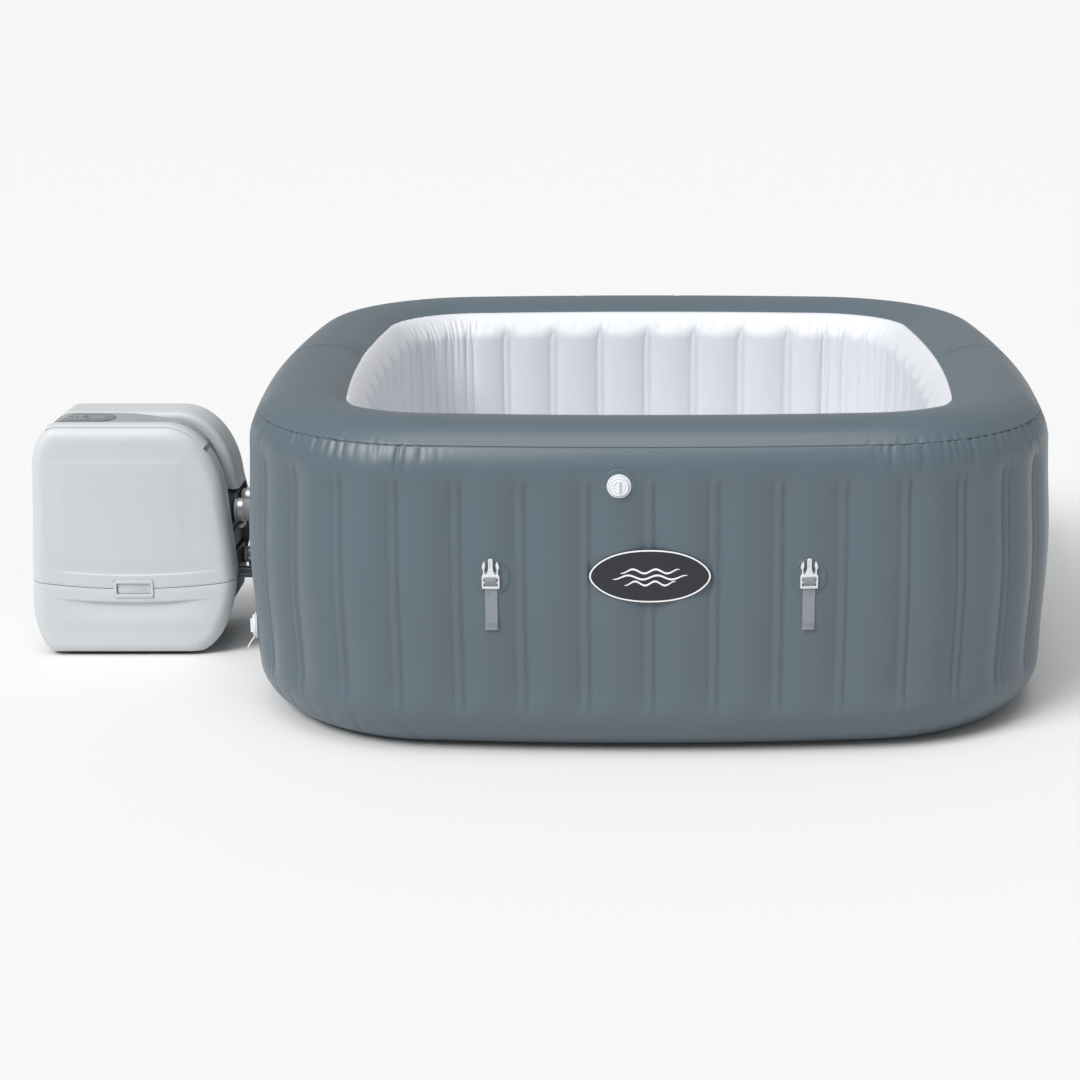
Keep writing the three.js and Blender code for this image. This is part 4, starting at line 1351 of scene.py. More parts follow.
def control_panel():
    """A gloss plate with a number display, a row of lights, a bar and four keys."""
    top = CASE_HEIGHT + 0.0011
    plate = flat_plate("panel_plate", "panel", [panel_outline()], 0.0040, 0.0009,
                       at=(0, 0, CASE_HEIGHT - 0.003))
    display = flat_plate("panel_display", "display",
                         [rounded(0.042, 0.026, 0.003, PUMP_X + 0.108, -0.070)], 0.0008, 0.0002,
                         at=(0, 0, top - 0.0002))
    frame_line = flat_plate("panel_line", "mark",
                            [rounded(0.046, 0.030, 0.0045, PUMP_X + 0.108, -0.070),
                             rounded(0.0448, 0.0288, 0.004, PUMP_X + 0.108, -0.070)], 0.0006,
                            0.0001, at=(0, 0, top - 0.0002))
    parts = [plate, display, frame_line]
    for digit in range(2):
        parts += digit_bars(PUMP_X + 0.101 + digit * 0.0125, -0.070, top + 0.0005, range(6 + digit))
    for dot in range(4):
        parts.append(flat_plate("dot", "mark",
                                [round_loop(0.0011, PUMP_X + 0.140 + dot * 0.0095, -0.060, 16)],
                                0.0005, 0.0001, at=(0, 0, top - 0.0001)))
    parts.append(flat_plate("bar", "mark", [rounded(0.034, 0.0012, 0.0005, PUMP_X + 0.154, -0.078)],
                            0.0005, 0.0001, at=(0, 0, top - 0.0001)))
    piece = joined("control_panel_plate", parts)
    fitted(piece, "root", ["control_panel"])
    for name, x in (("power", 0.096), ("heat", 0.118), ("bubbles", 0.140), ("jets", 0.162)):
        key(name, PUMP_X + x, -0.106)


def digit_bars(x, y, z, lit):
    """Bars of a number display, each a small lozenge."""
    wide, tall = 0.0036, 0.0042
    spots = [(0, tall * 2, 1), (wide, tall, 0), (wide, -tall, 0), (0, -tall * 2, 1),
             (-wide, -tall, 0),
             (-wide, tall, 0), (0, 0, 1)]
    made = []
    for index in lit:
        dx, dy, flat = spots[index]
        size = (0.0052, 0.0011) if flat else (0.0011, 0.0062)
        made.append(flat_plate("digit_bar", "mark", [rounded(*size, 0.0005, x + dx, y + dy, 3)],
                               0.0004, 0.0001,
                               at=(0, 0, z - 0.0002)))
    return made


def key(name, x, y):
    """A round key with a raised rim and its own plain sign."""
    low = CASE_HEIGHT * 1000 - 2.4
    cap = spun(f"key_{name}", "key", [
        [0, low], [4.6, low], [4.9, low + 0.3], [4.9, low + 3.2], [4.6, low + 3.7],
        [4.2, low + 3.8],
        [3.8, low + 3.5], [2.0, low + 3.25], [0, low + 3.2]], (x, y, 0), steps=32)
    top = CASE_HEIGHT + 0.0010
    signs = {
        "power": [[round_loop(0.0017, x, y, 24), round_loop(0.0013, x, y, 24)],
                  [rounded(0.0005, 0.0020, 0.0002, x, y + 0.0014, 3)]],
        "heat": [[rounded(0.0005, 0.0032, 0.0002, x + dx, y, 3)] for dx in (-0.0013, 0, 0.0013)],
        "bubbles": [[round_loop(r, x + dx, y + dy, 16)] for dx, dy, r in
                    ((-0.0010, -0.0006, 0.0008), (0.0010, -0.0002, 0.0006),
                     (0.0001, 0.0013, 0.0005))],
        "jets": [[rounded(0.0034, 0.0005, 0.0002, x, y + dy, 3)] for dy in (-0.0012, 0, 0.0012)],
    }[name]
    marks = [flat_plate("sign", "mark", loops, 0.0004, 0.00008, at=(0, 0, top - 0.0001))
             for loops in signs]
    piece = joined(f"key_{name}", [cap] + marks)
    fitted(piece, f"button_{name}", [f"button_{name}"])


def latch():
    """The latch's frame and back, and the ribbed paddle that is pressed."""
    at = (PUMP_X + LATCH_X, CASE_FRONT, SPLIT_HEIGHT)
    frame_piece = flat_plate("latch_frame", "casing",
                             [rounded(0.092, 0.042, 0.006), rounded(0.079, 0.026, 0.004)],
                             0.0160, 0.0011, FORWARDS, (at[0], CASE_FRONT + 0.0140, at[2]))
    floor_piece = flat_plate("latch_back", "casing",
                             [rounded(0.080, 0.027, 0.004), rounded(0.063, 0.014, 0.002)],
                             0.0040, 0.0005, FORWARDS, (at[0], CASE_FRONT + 0.0160, at[2]))
    fitted(joined("latch_bezel_frame", [frame_piece, floor_piece]), "root",
           ["latch_bezel"])
    paddle = flat_plate("latch_paddle_plate", "casing", [rounded(0.077, 0.024, 0.003)], 0.0034,
                        0.0009, FORWARDS,
                        (at[0], CASE_FRONT + 0.0065, at[2]))
    grips = [block("grip", "casing",
                   (at[0] - 0.030, CASE_FRONT + 0.0024, at[2] - 0.0065 + row * 0.0036),
                   (at[0] + 0.030, CASE_FRONT + 0.0040, at[2] - 0.0050 + row * 0.0036), 0.0005, 2)
             for row in range(4)]
    fitted(joined("latch_paddle_plate", [paddle] + grips), "latch_paddle",
           ["latch_paddle"])


def port_plate():
    """The black side between the covers, with a raised block behind each pair of spigots."""
    face = PUMP_X + PORT_FACE
    parts = [
        block("plate", "black", (face - 0.040, FRONT_BACK + 0.014, 0.100),
              (face - 0.008, 0.084, 0.358), 0.004),
        block("upper", "black", (face - 0.030, -0.098, 0.276), (face, 0.082, 0.356), 0.006, 4),
        block("lower", "black", (face - 0.030, -0.098, 0.118), (face, 0.082, 0.214), 0.006, 4),
        block("middle", "port_grey", (face - 0.030, -0.112, 0.222), (face - 0.004, 0.080, 0.268),
              0.004),
    ]
    for y, z, radius, _, _ in LINES.values():
        pipe, bore = radius - 5, radius - 9
        end = -face * 1000 - SPIGOT_END
        parts.append(spun("spigot", "black", [
            [bore, -20], [bore, end], [pipe - 0.8, end], [pipe, end - 1.2], [pipe - 0.4, end - 6],
            [pipe, end - 8],
            [pipe - 0.4, end - 14], [pipe, end - 16], [pipe, 3.5], [pipe + 5.5, 2.5],
            [pipe + 6, 1.8], [pipe + 6, -2],
            [pipe, -20]], (face, y * MM, z * MM), (1, 0, 0), 40))
    fitted(joined("port_plate_body", parts), "root", ["port_plate"])


def base_tray():
    """The tray that the unit stands on, with four round feet."""
    tray = flat_plate("tray", "black", [rounded(0.300, 0.270, 0.040, PUMP_X + 0.215, -0.042)],
                      0.0076, 0.0015,
                      at=(0, 0, 0.0020))
    feet = [spun("foot", "black", [[0, 0], [14, 0], [15, 0.8], [15, 3], [0, 3]],
                 (PUMP_X + 0.215 + sx * 0.110, -0.042 + sy * 0.100, 0), steps=32) for sx in (-1, 1)
            for sy in (-1, 1)]
    fitted(joined("base_tray_body", [tray] + feet), "root", ["base_tray"])


def cable_gland():
    """A nut and a ribbed neck, where a power lead would leave the back."""
    at = (PUMP_X + 0.150, REAR_BACK + 0.0004, 0.090)
    nut = spun("gland_nut", "black", [[0, 0], [13, 0], [14, 0.8], [14, 4.4], [13.2, 5], [0, 5]], at,
               (0, 1, 0), 6)
    neck = spun("gland_neck", "black",
                [[0, 4], [10, 4], [10, 9], [8.6, 10], [8.2, 12], [8.6, 12.6], [7.9, 14],
                                                 [8.1, 16], [7.4, 17.4], [7.6, 19], [6.8, 20.6],
                 [6.8, 22], [5.4, 26],
                                                 [4.2, 26], [4.2, 20], [0, 20]], at, (0, 1, 0), 40)
    fitted(joined("cable_gland_body", [nut, neck]), "root", ["cable_gland"])


def pump_unit():
    front_covers()
    rear_cover()
    inner_frame()
    top_lid()
    control_panel()
    latch()
    port_plate()
    base_tray()
    cable_gland()


# ---- Fittings on the tub ----

def beside(normal):
    """The level direction along the wall, to the right of a place seen from outside."""
    return Vector((-normal.y, normal.x, 0))


def wall_place(distance, height):
    """A place on the outside wall, and the wall's normal there."""
    place, normal = outline([distance])
    x, y = place[0] - normal[0] * wall_inset(height)
    return Vector((x, y, height)), Vector((*normal[0], 0))


def wall_disc(name, finish, distance, height, profile):
    """A thin disc that lies on the wall's curve: profile is [radius, thickness] in millimetres."""
    turns = 72
    verts = []
    angle = np.linspace(0, 2 * math.pi, turns, endpoint=False)
    for r, thick in [(0.001, profile[0][1])] + list(profile):
        across, up = r * MM * np.cos(angle), r * MM * np.sin(angle)
        place, normal = outline(distance + across)
        lift = wall_lift(distance + across, height + up) + thick * MM
        inset = np.array([wall_inset(height + rise) for rise in up]) - lift
        verts += [(p[0] - n[0] * i, p[1] - n[1] * i, height + rise)
                  for p, n, i, rise in zip(place, normal, inset, up)]
    rings = len(profile) + 1
    faces = [tuple(range(turns))[::-1]]
    for ring in range(rings - 1):
        for i in range(turns):
            j = (i + 1) % turns
            faces.append((ring * turns + i, ring * turns + j, (ring + 1) * turns + j,
                          (ring + 1) * turns + i))
    faces.append(tuple((rings - 1) * turns + i for i in range(turns)))
    piece = made_whole(from_points(name, finish, verts, faces))
    return smoothed(piece, 60)


def screw_socket(name, distance, height, flange, bore, depth, strap=False):
    """A flanged socket in the wall and the screw cap that closes it."""
    at, normal = wall_place(distance, height)
    f = flange
    body = spun(f"{name}_socket", "milky", [
        [bore - 3, -depth], [bore, -depth], [bore, 0.4], [f - 1.0, 0.4], [f, 0.9], [f + 0.2, 1.7],
        [f - 0.5, 2.7],
        [f - 1.8, 3.1], [f - 2.6, 2.9], [f - 3.2, 2.4], [f - 4.0, 2.5], [f - 4.4, 3.0],
        [bore - 3, 3.0]], at, normal, 72)
    rings = [body]
    if strap:
        side = beside(normal)
        hanging = curve_through([(0.0020, -0.020), (0.0080, -0.027), (0.0150, -0.036),
                                 (0.0200, -0.044), (0.0225, -0.049)], 5)
        for off in (-0.0028, 0.0028):
            line = [at + normal * out + side * (0.004 + off) + Vector((0, 0, up)) for out,
                    up in hanging]
            rings.append(line_of("cap_strap", "milky", [tuple(p) for p in line], 0.0020))
        end = at + normal * 0.0225 + side * 0.004 + Vector((0, 0, -0.049))
        rings.append(line_of("strap_end", "milky",
                             [tuple(end - side * 0.0028), tuple(end + side * 0.0028)], 0.0020, 3))
    fitted(joined(f"{name}_socket", rings), "root", [f"{name}_body"])
    c = flange - 5
    cap = spun(f"{name}_screw_cap", "milky", [
        [0, 3.4], [c - 0.6, 3.4], [c, 4.0], [c, 7.4], [c - 0.5, 8.6], [c - 1.6, 9.1],
        [c - 2.6, 8.9], [c - 3.4, 8.0],
        [c - 5.6, 7.9], [c - 6.2, 8.6], [c - 7.2, 9.4], [c - 8.4, 9.3], [c - 9.2, 8.4],
        [c - 9.8, 8.0], [3.0, 8.4],
        [1.2, 8.6], [0, 8.6]], at, normal, 72)
    side = beside(normal)
    grip = flat_plate("grip", "milky", [rounded(0.0036, 2 * (c - 8) * MM, 0.0017)], 0.0066, 0.0014,
                      normal,
                      at + normal * 0.0078)
    notches = []
    for step in range(28):
        turn = step / 28 * 2 * math.pi
        spot = at + side * (math.cos(turn) * (c - 0.2)
                            * MM) + Vector((0, 0, math.sin(turn) * (c - 0.2)
                                            * MM)) + normal * 0.0056
        notches.append(spun("rib", "milky",
                            [[0, -1.5], [0.5, -1.5], [0.7, -1.2], [0.7, 1.2], [0.5, 1.5], [0, 1.5]],
                            spot, normal, 8))
    fitted(joined(f"{name}_screw_cap", [cap, grip] + notches), f"{name}_cap",
           [f"{name}_cap"])
    patch = wall_disc(f"{name}_weld", "outer", distance, height, [
        [flange + 5, 0.7], [flange + 6, 0.9], [flange + 7, 0.7], [flange + 9, 0.75],
        [flange + 10, 0.4], [flange + 10.5, -0.8]])
    fitted(patch)


def badge_outline(half_width, half_height):
    """An oval that comes to a soft point at each end."""
    points = []
    for angle in np.linspace(0, 2 * math.pi, 120, endpoint=False):
        across = math.cos(angle)
        up = math.sin(angle)
        pinch = 1 - 0.16 * abs(across) ** 5
        points.append((half_width * math.copysign(abs(across) ** 0.94, across),
                       half_height * up * pinch))
    return points


def badge():
    """A dark oval with a pale edge line and three plain waves. It follows the wall."""
    at = Vector((0, -TUB_HALF, 0.397))
    parts = [
        flat_plate("oval", "badge", [badge_outline(0.124, 0.0555)], 0.0022, 0.0008, FORWARDS,
                   at + Vector((0, -0.0004, 0))),
        flat_plate("edge_line", "badge_edge",
                   [badge_outline(0.1225, 0.0542), badge_outline(0.1192, 0.0512)], 0.0008,
                   0.0002, FORWARDS, at + Vector((0, -0.0022, 0))),
    ]
    for half, rise in ((0.060, 0.0105), (0.076, -0.0020), (0.052, -0.0145)):
        middle = [(x, rise + 0.0042 * math.sin((x / half) * 2.6 * math.pi))
                  for x in np.linspace(-half, half, 61)]
        upper = [(x, z + 0.0019 * math.sqrt(max(0.0, 1 - (x / half) ** 4))) for x, z in middle]
        lower = [(x, z - 0.0019 * math.sqrt(max(0.0, 1 - (x / half) ** 4)) - 0.0001) for x,
                 z in middle]
        parts.append(flat_plate("wave", "badge_edge", [upper + lower[::-1]], 0.0008, 0.00015,
                                FORWARDS,
                                at + Vector((0, -0.0022, 0))))
    piece = joined("badge_oval", parts)
    alone(piece)
    def wrapped(co):
        x, y, z = co.T.copy()
        bow = SIDE_RADIUS - np.sqrt(SIDE_RADIUS ** 2 - x ** 2)
        inset = np.array([wall_inset(h) for h in z])
        return np.stack([x, y + bow + inset - 0.0012, z], -1)
    sliced(piece, np.arange(-0.11, 0.12, 0.01))
    moved_by(piece, wrapped)
    fitted(smoothed(piece, 30), "root", ["badge"])


def ribbon(name, path, width, thick, finish, base, normal):
    """A flat strap along a path of [out, z] in metres, held out from the wall at a place."""
    path = np.array(path, float)
    side = np.array([-normal.y, normal.x, 0])
    out = np.array([normal.x, normal.y, 0])
    along = np.gradient(path, axis=0)
    along /= np.linalg.norm(along, axis=1)[:, None]
    through = np.stack([-along[:, 1], along[:, 0]], -1)
    half, t = width / 2, thick / 2
    ring = [(-half, 0.3), (-half + 0.0004, 1), (-half / 2, 1), (0, 1), (half / 2, 1),
            (half - 0.0004, 1), (half, 0.3), (half, -0.3),
            (half - 0.0004, -1), (0, -1), (-half + 0.0004, -1), (-half, -0.3)]
    run = np.concatenate([[0], np.cumsum(np.linalg.norm(np.diff(path, axis=0), axis=1))])
    verts, spots = [], []
    for (o, z), (to, tz), length in zip(path, through, run):
        for across, level in ring:
            verts.append(tuple(np.array(base) * [1, 1, 0] + side * across + out
                               * (o + to * level * t)
                               + np.array([0, 0, z + tz * level * t])))
            spots.append((across, length))
    n = len(ring)
    faces = [(r * n + i, r * n + (i + 1) % n, (r + 1) * n + (i + 1) % n, (r + 1) * n + i)
             for r in range(len(path) - 1) for i in range(n)]
    faces += [tuple(range(n))[::-1], tuple((len(path) - 1) * n + i for i in range(n))]
    piece = from_points(name, finish, verts, faces)
    layer = piece.data.uv_layers.new(name="UVMap")
    for loop in piece.data.loops:
        layer.data[loop.index].uv = spots[loop.vertex_index]
    edited(piece)
    bpy.ops.mesh.normals_make_consistent(inside=False)
    bpy.ops.object.mode_set(mode="OBJECT")
    return smoothed(piece, 50)


def curve_through(points, steps=6):
    """A smooth line through points."""
    p = np.array([points[0]] + list(points) + [points[-1]], float)
    made = []
    for i in range(1, len(p) - 2):
        for t in np.linspace(0, 1, steps, endpoint=False):
            a, b, c, d = p[i - 1], p[i], p[i + 1], p[i + 2]
            made.append(0.5 * (2 * b + (c - a) * t + (2 * a - 5 * b + 4 * c - d) * t * t
                               + (3 * b - a - 3 * c + d) * t ** 3))
    return np.array(made + [p[-2]])


STRAP_PLACE = SIDE_RADIUS * math.asin(0.321 / SIDE_RADIUS)
STRAP_TOP, STRAP_BOTTOM, BUCKLE_PIVOT = 0.404, 0.282, 0.371


def cover_strap(name, distance):
    """A webbing tail with its hem and fold, the welded patch it is sewn to, and its buckle."""
    lift = float(wall_lift(np.array([distance]), np.array([0.34]))[0])
    base, normal = wall_place(distance, 0.351)
    side = beside(normal)
    low = lift + 0.0013
    path = curve_through([
        (low, STRAP_TOP), (low, 0.399), (low + 0.0002, 0.3935), (0.0045, 0.3895), (0.0066, 0.3840),
        (0.0064, 0.3795),
        (0.0042, 0.3760), (low + 0.0008, 0.3725), (low + 0.0004, 0.3690), (low, 0.364),
        (low, 0.340), (low, 0.315), (low, 0.294),
        (low, STRAP_BOTTOM)])
    web = ribbon("web", path, 0.0255, 0.0014, "webbing", base, normal)
    hem = ribbon("hem", curve_through([(low + 0.0014, 0.2945), (low + 0.00145, 0.288),
                                       (low + 0.0011, STRAP_BOTTOM - 0.0002)]),
                 0.0255, 0.0013, "webbing", base, normal)
    loops = ribbon("fold", curve_through([(0.0062, 0.3950), (0.0079, 0.3905), (0.0081, 0.3850),
                                          (0.0066, 0.3812)]), 0.0250, 0.0013,
                   "webbing", base, normal)
    stitches = []
    for z in (0.2925, 0.2900):
        for step in range(9):
            across = (step - 4) * 0.0026
            middle = Vector((base.x, base.y, z)) + side * across + normal * (low + 0.0022)
            stitches.append(line_of("stitch", "thread",
                                    [tuple(middle - side * 0.0009), tuple(middle + side * 0.0009)],
                                    0.0007, 1))
    strap = joined(f"strap_web_{name}", [web, hem, loops] + stitches)
    fitted(strap, "root", [f"strap_{name}"])
    patch = wall_disc(f"strap_patch_{name}", "outer", distance, 0.392, [
        [12, 1.5], [26, 1.5], [30.6, 1.5], [31.8, 2.2], [33.2, 1.3], [34.8, 1.5], [36.2, 2.1],
        [37.4, 1.3], [38, -1.6]])
    fitted(patch)
    buckle(name, base, normal)


def buckle(name, base, normal):
    """A side-release buckle's male half: a slotted frame, a middle prong and two sprung arms."""
    at = Vector((base.x, base.y, BUCKLE_PIVOT))
    def plate(loops, thick, start, edge=0.0007):
        loops = [[(x * MM, y * MM) for x, y in loop] for loop in loops]
        return flat_plate("plate", "buckle", loops, thick * MM, edge, normal,
                          at + normal * (start * MM))
    frame_loop = [(x * 1000, y * 1000) for x, y in rounded(0.036, 0.0265, 0.003, 0, 0.0128)]
    windows = [[(x * 1000, y * 1000) for x, y in rounded(0.0285, 0.0066, 0.0012, 0, 0.0062)],
               [(x * 1000, y * 1000) for x, y in rounded(0.0285, 0.0070, 0.0012, 0, 0.0166)]]
    def mirrored(points):
        return [(-x, y) for x, y in points][::-1]
    arm = [tuple(p) for p in curve_through([
        (11.6, 24.5), (11.8, 30.0), (12.4, 34.5), (12.2, 38.5), (10.8, 44.0), (10.4, 47.0),
        (11.2, 51.5), (12.6, 54.4),
        (14.2, 53.2), (16.2, 49.0), (17.4, 44.5), (17.6, 41.2), (16.6, 39.4), (15.4, 37.6),
        (15.2, 33.0), (15.3, 24.5)], 4)]
    prong = [(9.2, 24.6), (8.8, 27.4), (6.6, 32.5), (5.0, 38.0), (4.6, 42.0), (4.6, 57.0),
             (4.1, 59.3), (2.6, 60.7), (0, 61.0)]
    prong_loop = prong + mirrored(prong)[1:]
    slot = [(x * 1000, y * 1000) for x, y in rounded(0.0032, 0.016, 0.0015, 0, 0.048)]
    parts = [
        plate([frame_loop] + windows, 5.0, 2.4, 0.0011),
        plate([arm], 3.4, 3.2),
        plate([mirrored(arm)], 3.4, 3.2),
        plate([prong_loop, slot], 3.4, 3.2),
        plate([[(-17.2, 22.4), (17.2, 22.4), (16.6, 27.6), (11, 28.6), (9, 27.6), (-9, 27.6),
                (-11, 28.6), (-16.6, 27.6)]], 4.2, 2.8),
        plate([[(-3.2, 40), (3.2, 40), (3.2, 57.5), (1.9, 59.2), (-1.9, 59.2), (-3.2, 57.5)]], 1.4,
              4.0, 0.0004),
    ]
    lower = at + normal * 0.0049
    side = beside(normal)
    parts.append(line_of("bar", "buckle",
                         [tuple(lower - side * 0.0174), tuple(lower + side * 0.0174)], 0.0049, 4))
    for rib in range(3):
        spot = lower + normal * 0.0022 + Vector((0, 0, 0.0225 + rib * 0.0016))
        parts.append(line_of("rib", "buckle",
                             [tuple(spot - side * 0.009), tuple(spot + side * 0.009)], 0.0008, 2))
    fitted(joined(f"buckle_half_{name}", parts), f"buckle_{name}", [f"buckle_{name}"])


# ---- Hose connections ----

LINER_FACE = 635  # from the tub's middle to the liner, in millimetres
# Each line's y, height, radius and clamp place in millimetres, and whether it goes through the
# liner.
LINES = {
    "outlet": (-52, 318, 28, 968, True),
    "inlet": (52, 318, 28, 966, True),
    "jet": (52, 180, 20, 967, False),
    "air": (-52, 166, 14, 922, False),
}


def hose_line(name, y, z, radius, clamp, through):
    """A wall fitting with its lugs, the ribbed cuff pushed over it, and the cuff's clamp."""
    centre = (0, y * MM, z * MM)
    pipe, bore, flange = radius - 5, radius - 9, radius + 20
    wall = 900 - wall_inset(z * MM) * 1000 + 2
    inner = LINER_FACE - 9 if through else 840
    fitting = [spun("fitting", "milky", [
        [bore, inner], [bore, 940], [pipe - 0.8, 940], [pipe, 939], [pipe - 0.4, 934],
        [pipe, 932.5], [pipe - 0.4, 926],
        [pipe, 924.5], [pipe, wall + 9.5], [pipe + 2, wall + 7.8], [flange - 8, wall + 6.8],
        [flange - 7, wall + 5.6],
        [flange - 2, wall + 5.2], [flange, wall + 4.0], [flange, wall + 0.6], [flange - 0.8, wall],
        [pipe, wall],
        [pipe, inner]], centre, TO_PUMP, 64)]
    for step in range(18):
        turn = step / 18 * 2 * math.pi
        spot = (-(wall + 5.4) * MM, (y + math.cos(turn) * (flange - 4.5)) * MM,
                (z + math.sin(turn) * (flange - 4.5)) * MM)
        fitting.append(spun("lug", "milky", [[0, 0], [1.6, 0], [1.6, 1.0], [1.1, 1.5], [0, 1.5]],
                            spot, TO_PUMP, 12))
    if name == "outlet":
        fitting += outlet_grille(y, z, pipe)
    fitted(joined(f"wall_fitting_{name}_body", fitting), "root",
           [f"wall_fitting_{name}"])

    inside = pipe + 0.4
    outer = [[inside, 984], [inside, 910]]
    heights = np.arange(910, 984.1, 0.6)
    for h in heights:
        flat = smooth((abs(h - clamp) - 7.5) / 2)
        ripple = 0.5 - 0.5 * math.cos(2 * math.pi * (h - 910) / 4.6)
        depth = 1.5 if name != "air" else 0.0
        lip = 0.8 if (h < 912.4 or h > 981.6) and name != "air" else 0
        outer.append([radius - depth * ripple * flat - (0.6 if not lip and depth else 0) * flat, h])
    finish = "smoke" if name == "air" else "cuff"
    sleeve = spun(f"cuff_sleeve_{name}", finish, outer, centre, TO_PUMP, 64)
    fitted(sleeve, "root", [f"cuff_{name}"])
    hose_clamp(name, y, z, radius, clamp)


def outlet_grille(y, z, pipe):
    """The domed grille over the outlet, inside the tub."""
    start = LINER_FACE - 2
    rim = spun("grille_rim", "milky",
               [[pipe + 0.2, start], [pipe + 14, start], [pipe + 14, start - 2.4],
                [pipe + 12, start - 4.4],
                                                 [pipe + 4, start - 6], [pipe + 0.2, start - 6]],
               (0, y * MM, z * MM), TO_PUMP, 56)
    bars = [block("grille_bar", "milky",
                  (-(start - 2) * MM, (y + step * 5.6) * MM - 0.0009, (z - 22) * MM),
                  (-(start - 6.5) * MM, (y + step * 5.6) * MM + 0.0009, (z + 22) * MM), 0.0006, 2)
            for step in range(-3, 4)]
    return [rim] + bars


def hose_clamp(name, y, z, radius, clamp):
    """A worm-drive band: rolled edges, slots as dark plates of painted shade, a housing, and a
    screw that turns in it.
    """
    centre = (0, y * MM, z * MM)
    r = radius + 0.4
    c = clamp
    parts = [spun("band", "steel", [
        [r, c - 6.6], [r + 1.3, c - 6.6], [r + 1.7, c - 6.2], [r + 1.7, c - 5.6],
        [r + 1.0, c - 4.8], [r + 1.0, c + 4.8],
        [r + 1.7, c + 5.6], [r + 1.7, c + 6.2], [r + 1.3, c + 6.6], [r, c + 6.6]], centre, TO_PUMP,
                  72)]
    for step in range(14):
        turn = math.radians(-150 + step * 9)
        if abs(math.degrees(turn) + 90) < 14:
            continue
        spot = Vector((-c * MM, (y + math.cos(turn) * (r + 1.0)) * MM,
                       (z + math.sin(turn) * (r + 1.0)) * MM))
        out = Vector((0, math.cos(turn), math.sin(turn)))
        # Each slot is a thin dark plate on the band: painted shade where the hole is.
        parts.append(flat_plate("slot", "slot_painted_shade", [rounded(0.0016, 0.0066, 0.0006, 0, 0, 3)],
                                0.0003, 0.00008, out,
                                spot, math.pi / 2))
    low = (z - radius - 12) * MM
    parts.append(block("housing", "steel", (-(c + 6.8) * MM, (y - 9.5) * MM, low + 0.0004),
                       (-(c - 6.8) * MM, (y + 9.5) * MM, low + 0.0102), 0.0022, 4))
    parts.append(block("saddle", "steel", (-(c + 7) * MM, (y - 12) * MM, low + 0.0088),
                       (-(c - 7) * MM, (y + 12) * MM, low + 0.0106), 0.0008, 3))
    fitted(joined(f"clamp_band_{name}", parts), "root", [f"clamp_{name}"])
    axis_at = (-c * MM, y * MM, (z - radius - 6.5) * MM)
    thread = [[0, -12], [2.6, -12]]
    for h in np.arange(-11.5, 14, 0.5):
        thread.append([3.0 - 0.45 * (0.5 - 0.5 * math.cos(2 * math.pi * h / 2.0)), h])
    thread += [[3.0, 14.5], [4.6, 14.6], [4.9, 15.2], [4.9, 18.0], [4.4, 18.8], [0, 18.8]]
    screw = spun("screw", "steel", thread, axis_at, FORWARDS, 24)
    wing_loop = rounded(0.0175, 0.0070, 0.0033, 0, 0.0215)
    wing = flat_plate("wing", "steel", [wing_loop], 0.0016, 0.0006, (0, 0, 1),
                      at=(axis_at[0], 0, 0))
    moved_by(wing, lambda co: np.stack([co[:, 0], axis_at[1] - co[:, 1],
                                        axis_at[2] - 0.0008 + co[:, 2]], -1))
    made_whole(wing)
    smoothed(wing)
    fitted(joined(f"clamp_screw_body_{name}", [screw, wing]), f"clamp_screw_{name}",
           [f"clamp_screw_{name}"])


# ---- Inside the tub ----

def filter_unit():
    """The filter's housing, and the pleated cartridge that pulls out of it."""
    y, z = LINES["inlet"][:2]
    start = LINER_FACE - 4
    at = (0, y * MM, z * MM)
    cup = spun("filter_cup", "milky", [
        [23.4, start], [58, start], [60, start - 2], [60, start - 84], [60.8, start - 85],
        [60.8, start - 88], [56.5, start - 88],
        [56.5, start - 5], [55, start - 4], [23.4, start - 4]], at, TO_PUMP, 72)
    ribs = [spun("hoop", "milky",
                 [[59.6, start - h], [61.4, start - h - 0.6], [61.4, start - h - 2.4],
                  [59.6, start - h - 3]],
                 at, TO_PUMP, 72) for h in (14, 32, 50, 68)]
    fitted(joined("filter_housing_cup", [cup] + ribs), "root",
           ["filter_housing"])

    pleat_count = 54
    bpy.ops.object.select_all(action="DESELECT")
    bpy.ops.mesh.primitive_circle_add(vertices=pleat_count * 4, radius=0.05, fill_type="NOTHING")
    pleat = bpy.context.object
    for index, vertex in enumerate(pleat.data.vertices):
        radius = (49.4, 48.4, 37.0, 48.4)[index % 4]
        turn = index / (pleat_count * 4) * 2 * math.pi
        vertex.co = (radius * MM * math.cos(turn), radius * MM * math.sin(turn), 0)
    bpy.ops.object.mode_set(mode="EDIT")
    bpy.ops.mesh.select_all(action="SELECT")
    for _ in range(6):
        bpy.ops.mesh.extrude_region_move(TRANSFORM_OT_translate={"value": (0, 0, 0.0115)})
    bpy.ops.object.mode_set(mode="OBJECT")
    made_whole(pleat)
    painted(pleat, "paper")
    placed(pleat, (-(start - 10) * MM, y * MM, z * MM), (1, 0, 0))
    modified(pleat, "SOLIDIFY", thickness=0.0007, offset=0)
    caps = [spun("cartridge_cap", "cap_blue",
                 [[24, h], [51, h], [52, h - 1], [52, h - 6], [51, h - 7], [24, h - 7]],
                 at, TO_PUMP, 72) for h in (start - 6, start - 77)]
    core = spun("cartridge_core", "milky",
                [[24, start - 8], [26, start - 8], [26, start - 82], [24, start - 82]], at, TO_PUMP,
                48)
    bands = [spun("cartridge_band", "milky",
                  [[49.2, start - h], [50.2, start - h], [50.2, start - h - 3],
                   [49.2, start - h - 3]],
                  at, TO_PUMP, 72) for h in (30, 52)]
    fitted(joined("filter_cartridge_body", [pleat, core] + caps + bands),
           "filter_cartridge", ["filter_cartridge"])


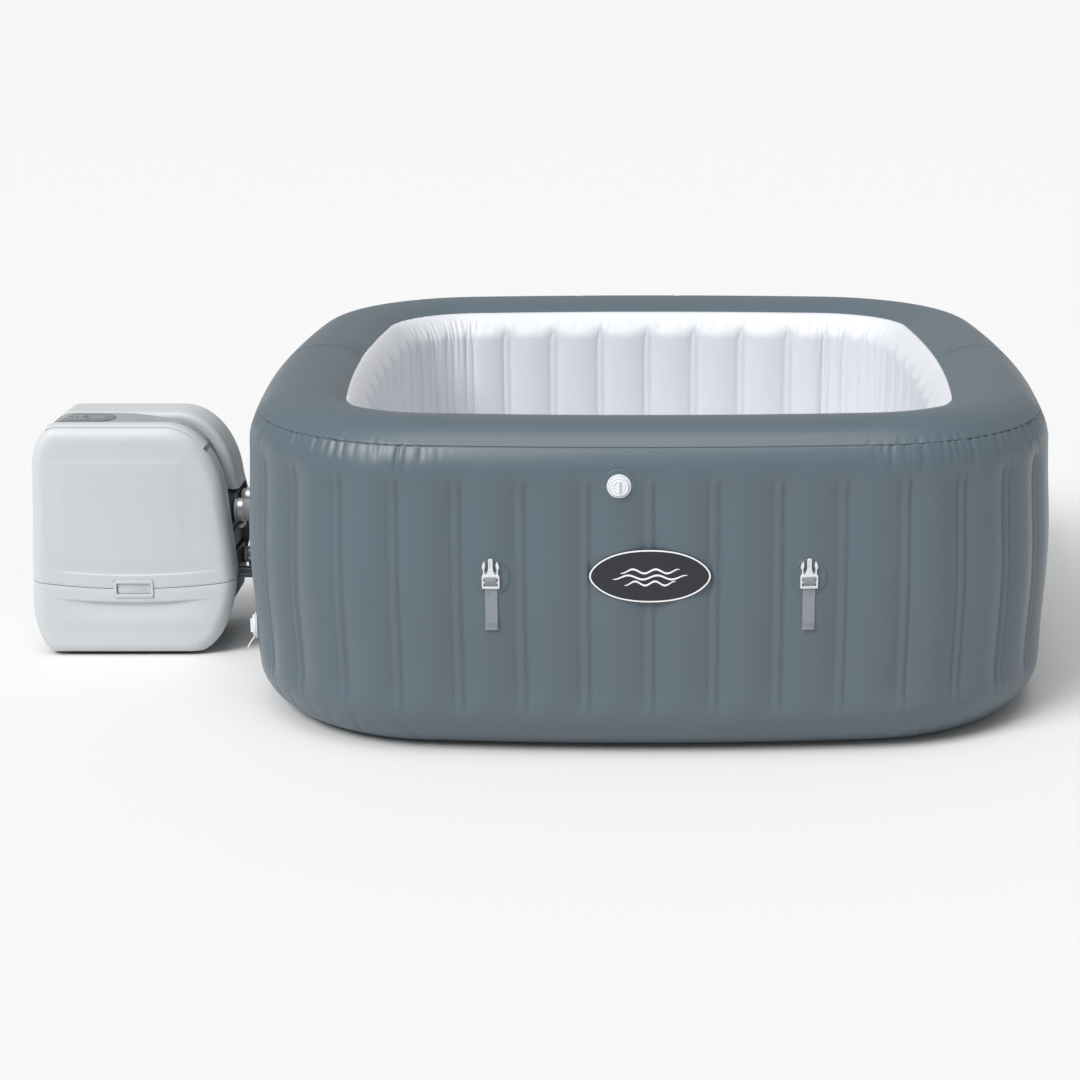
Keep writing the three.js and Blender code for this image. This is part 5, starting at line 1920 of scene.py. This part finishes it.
def water_jets():
    """Eyeball nozzles in the liner, two to a side."""
    for number, distance in enumerate(jet_places()):
        place, normal = outline([distance])
        inward_way = Vector((-normal[0][0], -normal[0][1], 0))
        spot = Vector((*(place[0] - normal[0] * (WALL - 0.004)), 0.205))
        ring = spun("ring", "milky",
                    [[19, 0], [32, 0], [33, 0.8], [33, 2.6], [31.6, 4.4], [27, 5.6], [22.5, 5.8],
                                                [20.6, 5.0], [19, 3.0]], spot + inward_way * 0.004,
                    inward_way, 56)
        ball = spun("ball", "jet_grey", [[0, 0]] + [[19.4 * math.sin(a), 9.0 * math.cos(a) - 1.0]
                    for a in np.linspace(math.pi / 2, 0.46, 9)]
                    + [[7.6, 6.0], [7.0, 1.0], [0, 1.0]],
                    spot + inward_way * 0.004, inward_way, 48)
        lugs = []
        side = beside(inward_way)
        for step in range(6):
            turn = step * math.pi / 3
            around = side * (0.0272 * math.cos(turn)) + Vector((0, 0, 0.0272 * math.sin(turn)))
            lug_at = spot + inward_way * 0.0095 + around
            lugs.append(spun("lug", "milky", [[0, -1], [1.9, -1], [1.9, 0.4], [1.2, 1.1], [0, 1.1]],
                             lug_at, inward_way, 12))
        fitted(joined(f"water_jet_{number + 1}", [ring, ball] + lugs), "root")


def jet_places():
    """Distances round the tub of the water jets, each in the middle of a panel."""
    spots = []
    for side in range(4):
        for step in (-2.5, 2.5):
            spots.append(side * QUARTER + step * PITCH)
    return spots


def tub_fittings():
    screw_socket("valve", SIDE_RADIUS * math.asin(-0.062 / SIDE_RADIUS), 0.581, 24.4, 18, 30)
    drain_turn = 0.21 - SIDE_ANGLE
    screw_socket("drain", 3 * QUARTER + SIDE_LENGTH / 2 + drain_turn * CORNER_RADIUS, 0.178, 29, 20,
                 40, strap=True)
    badge()
    for number, side in enumerate(("front", "right", "back")):
        cover_strap(f"{side}_1", number * QUARTER - STRAP_PLACE)
        cover_strap(f"{side}_2", number * QUARTER + STRAP_PLACE)
    for name, values in LINES.items():
        hose_line(name, *values)
    filter_unit()
    water_jets()


def carried_nodes():
    """Finishes for the CAD nodes that show as they are, deep in the pump unit."""
    looks = {"pump_motor": "black", "pump_volute": "black", "impeller": "milky",
             "heater_tube": "steel",
             "air_blower": "black", "control_board": "board"}
    for name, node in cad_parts.items():
        slots = node.data.materials
        slots.clear()
        slots.append(FINISHES[looks.get(name, "casing")])


camera()
studio()
tub()
pump_unit()
tub_fittings()
carried_nodes()
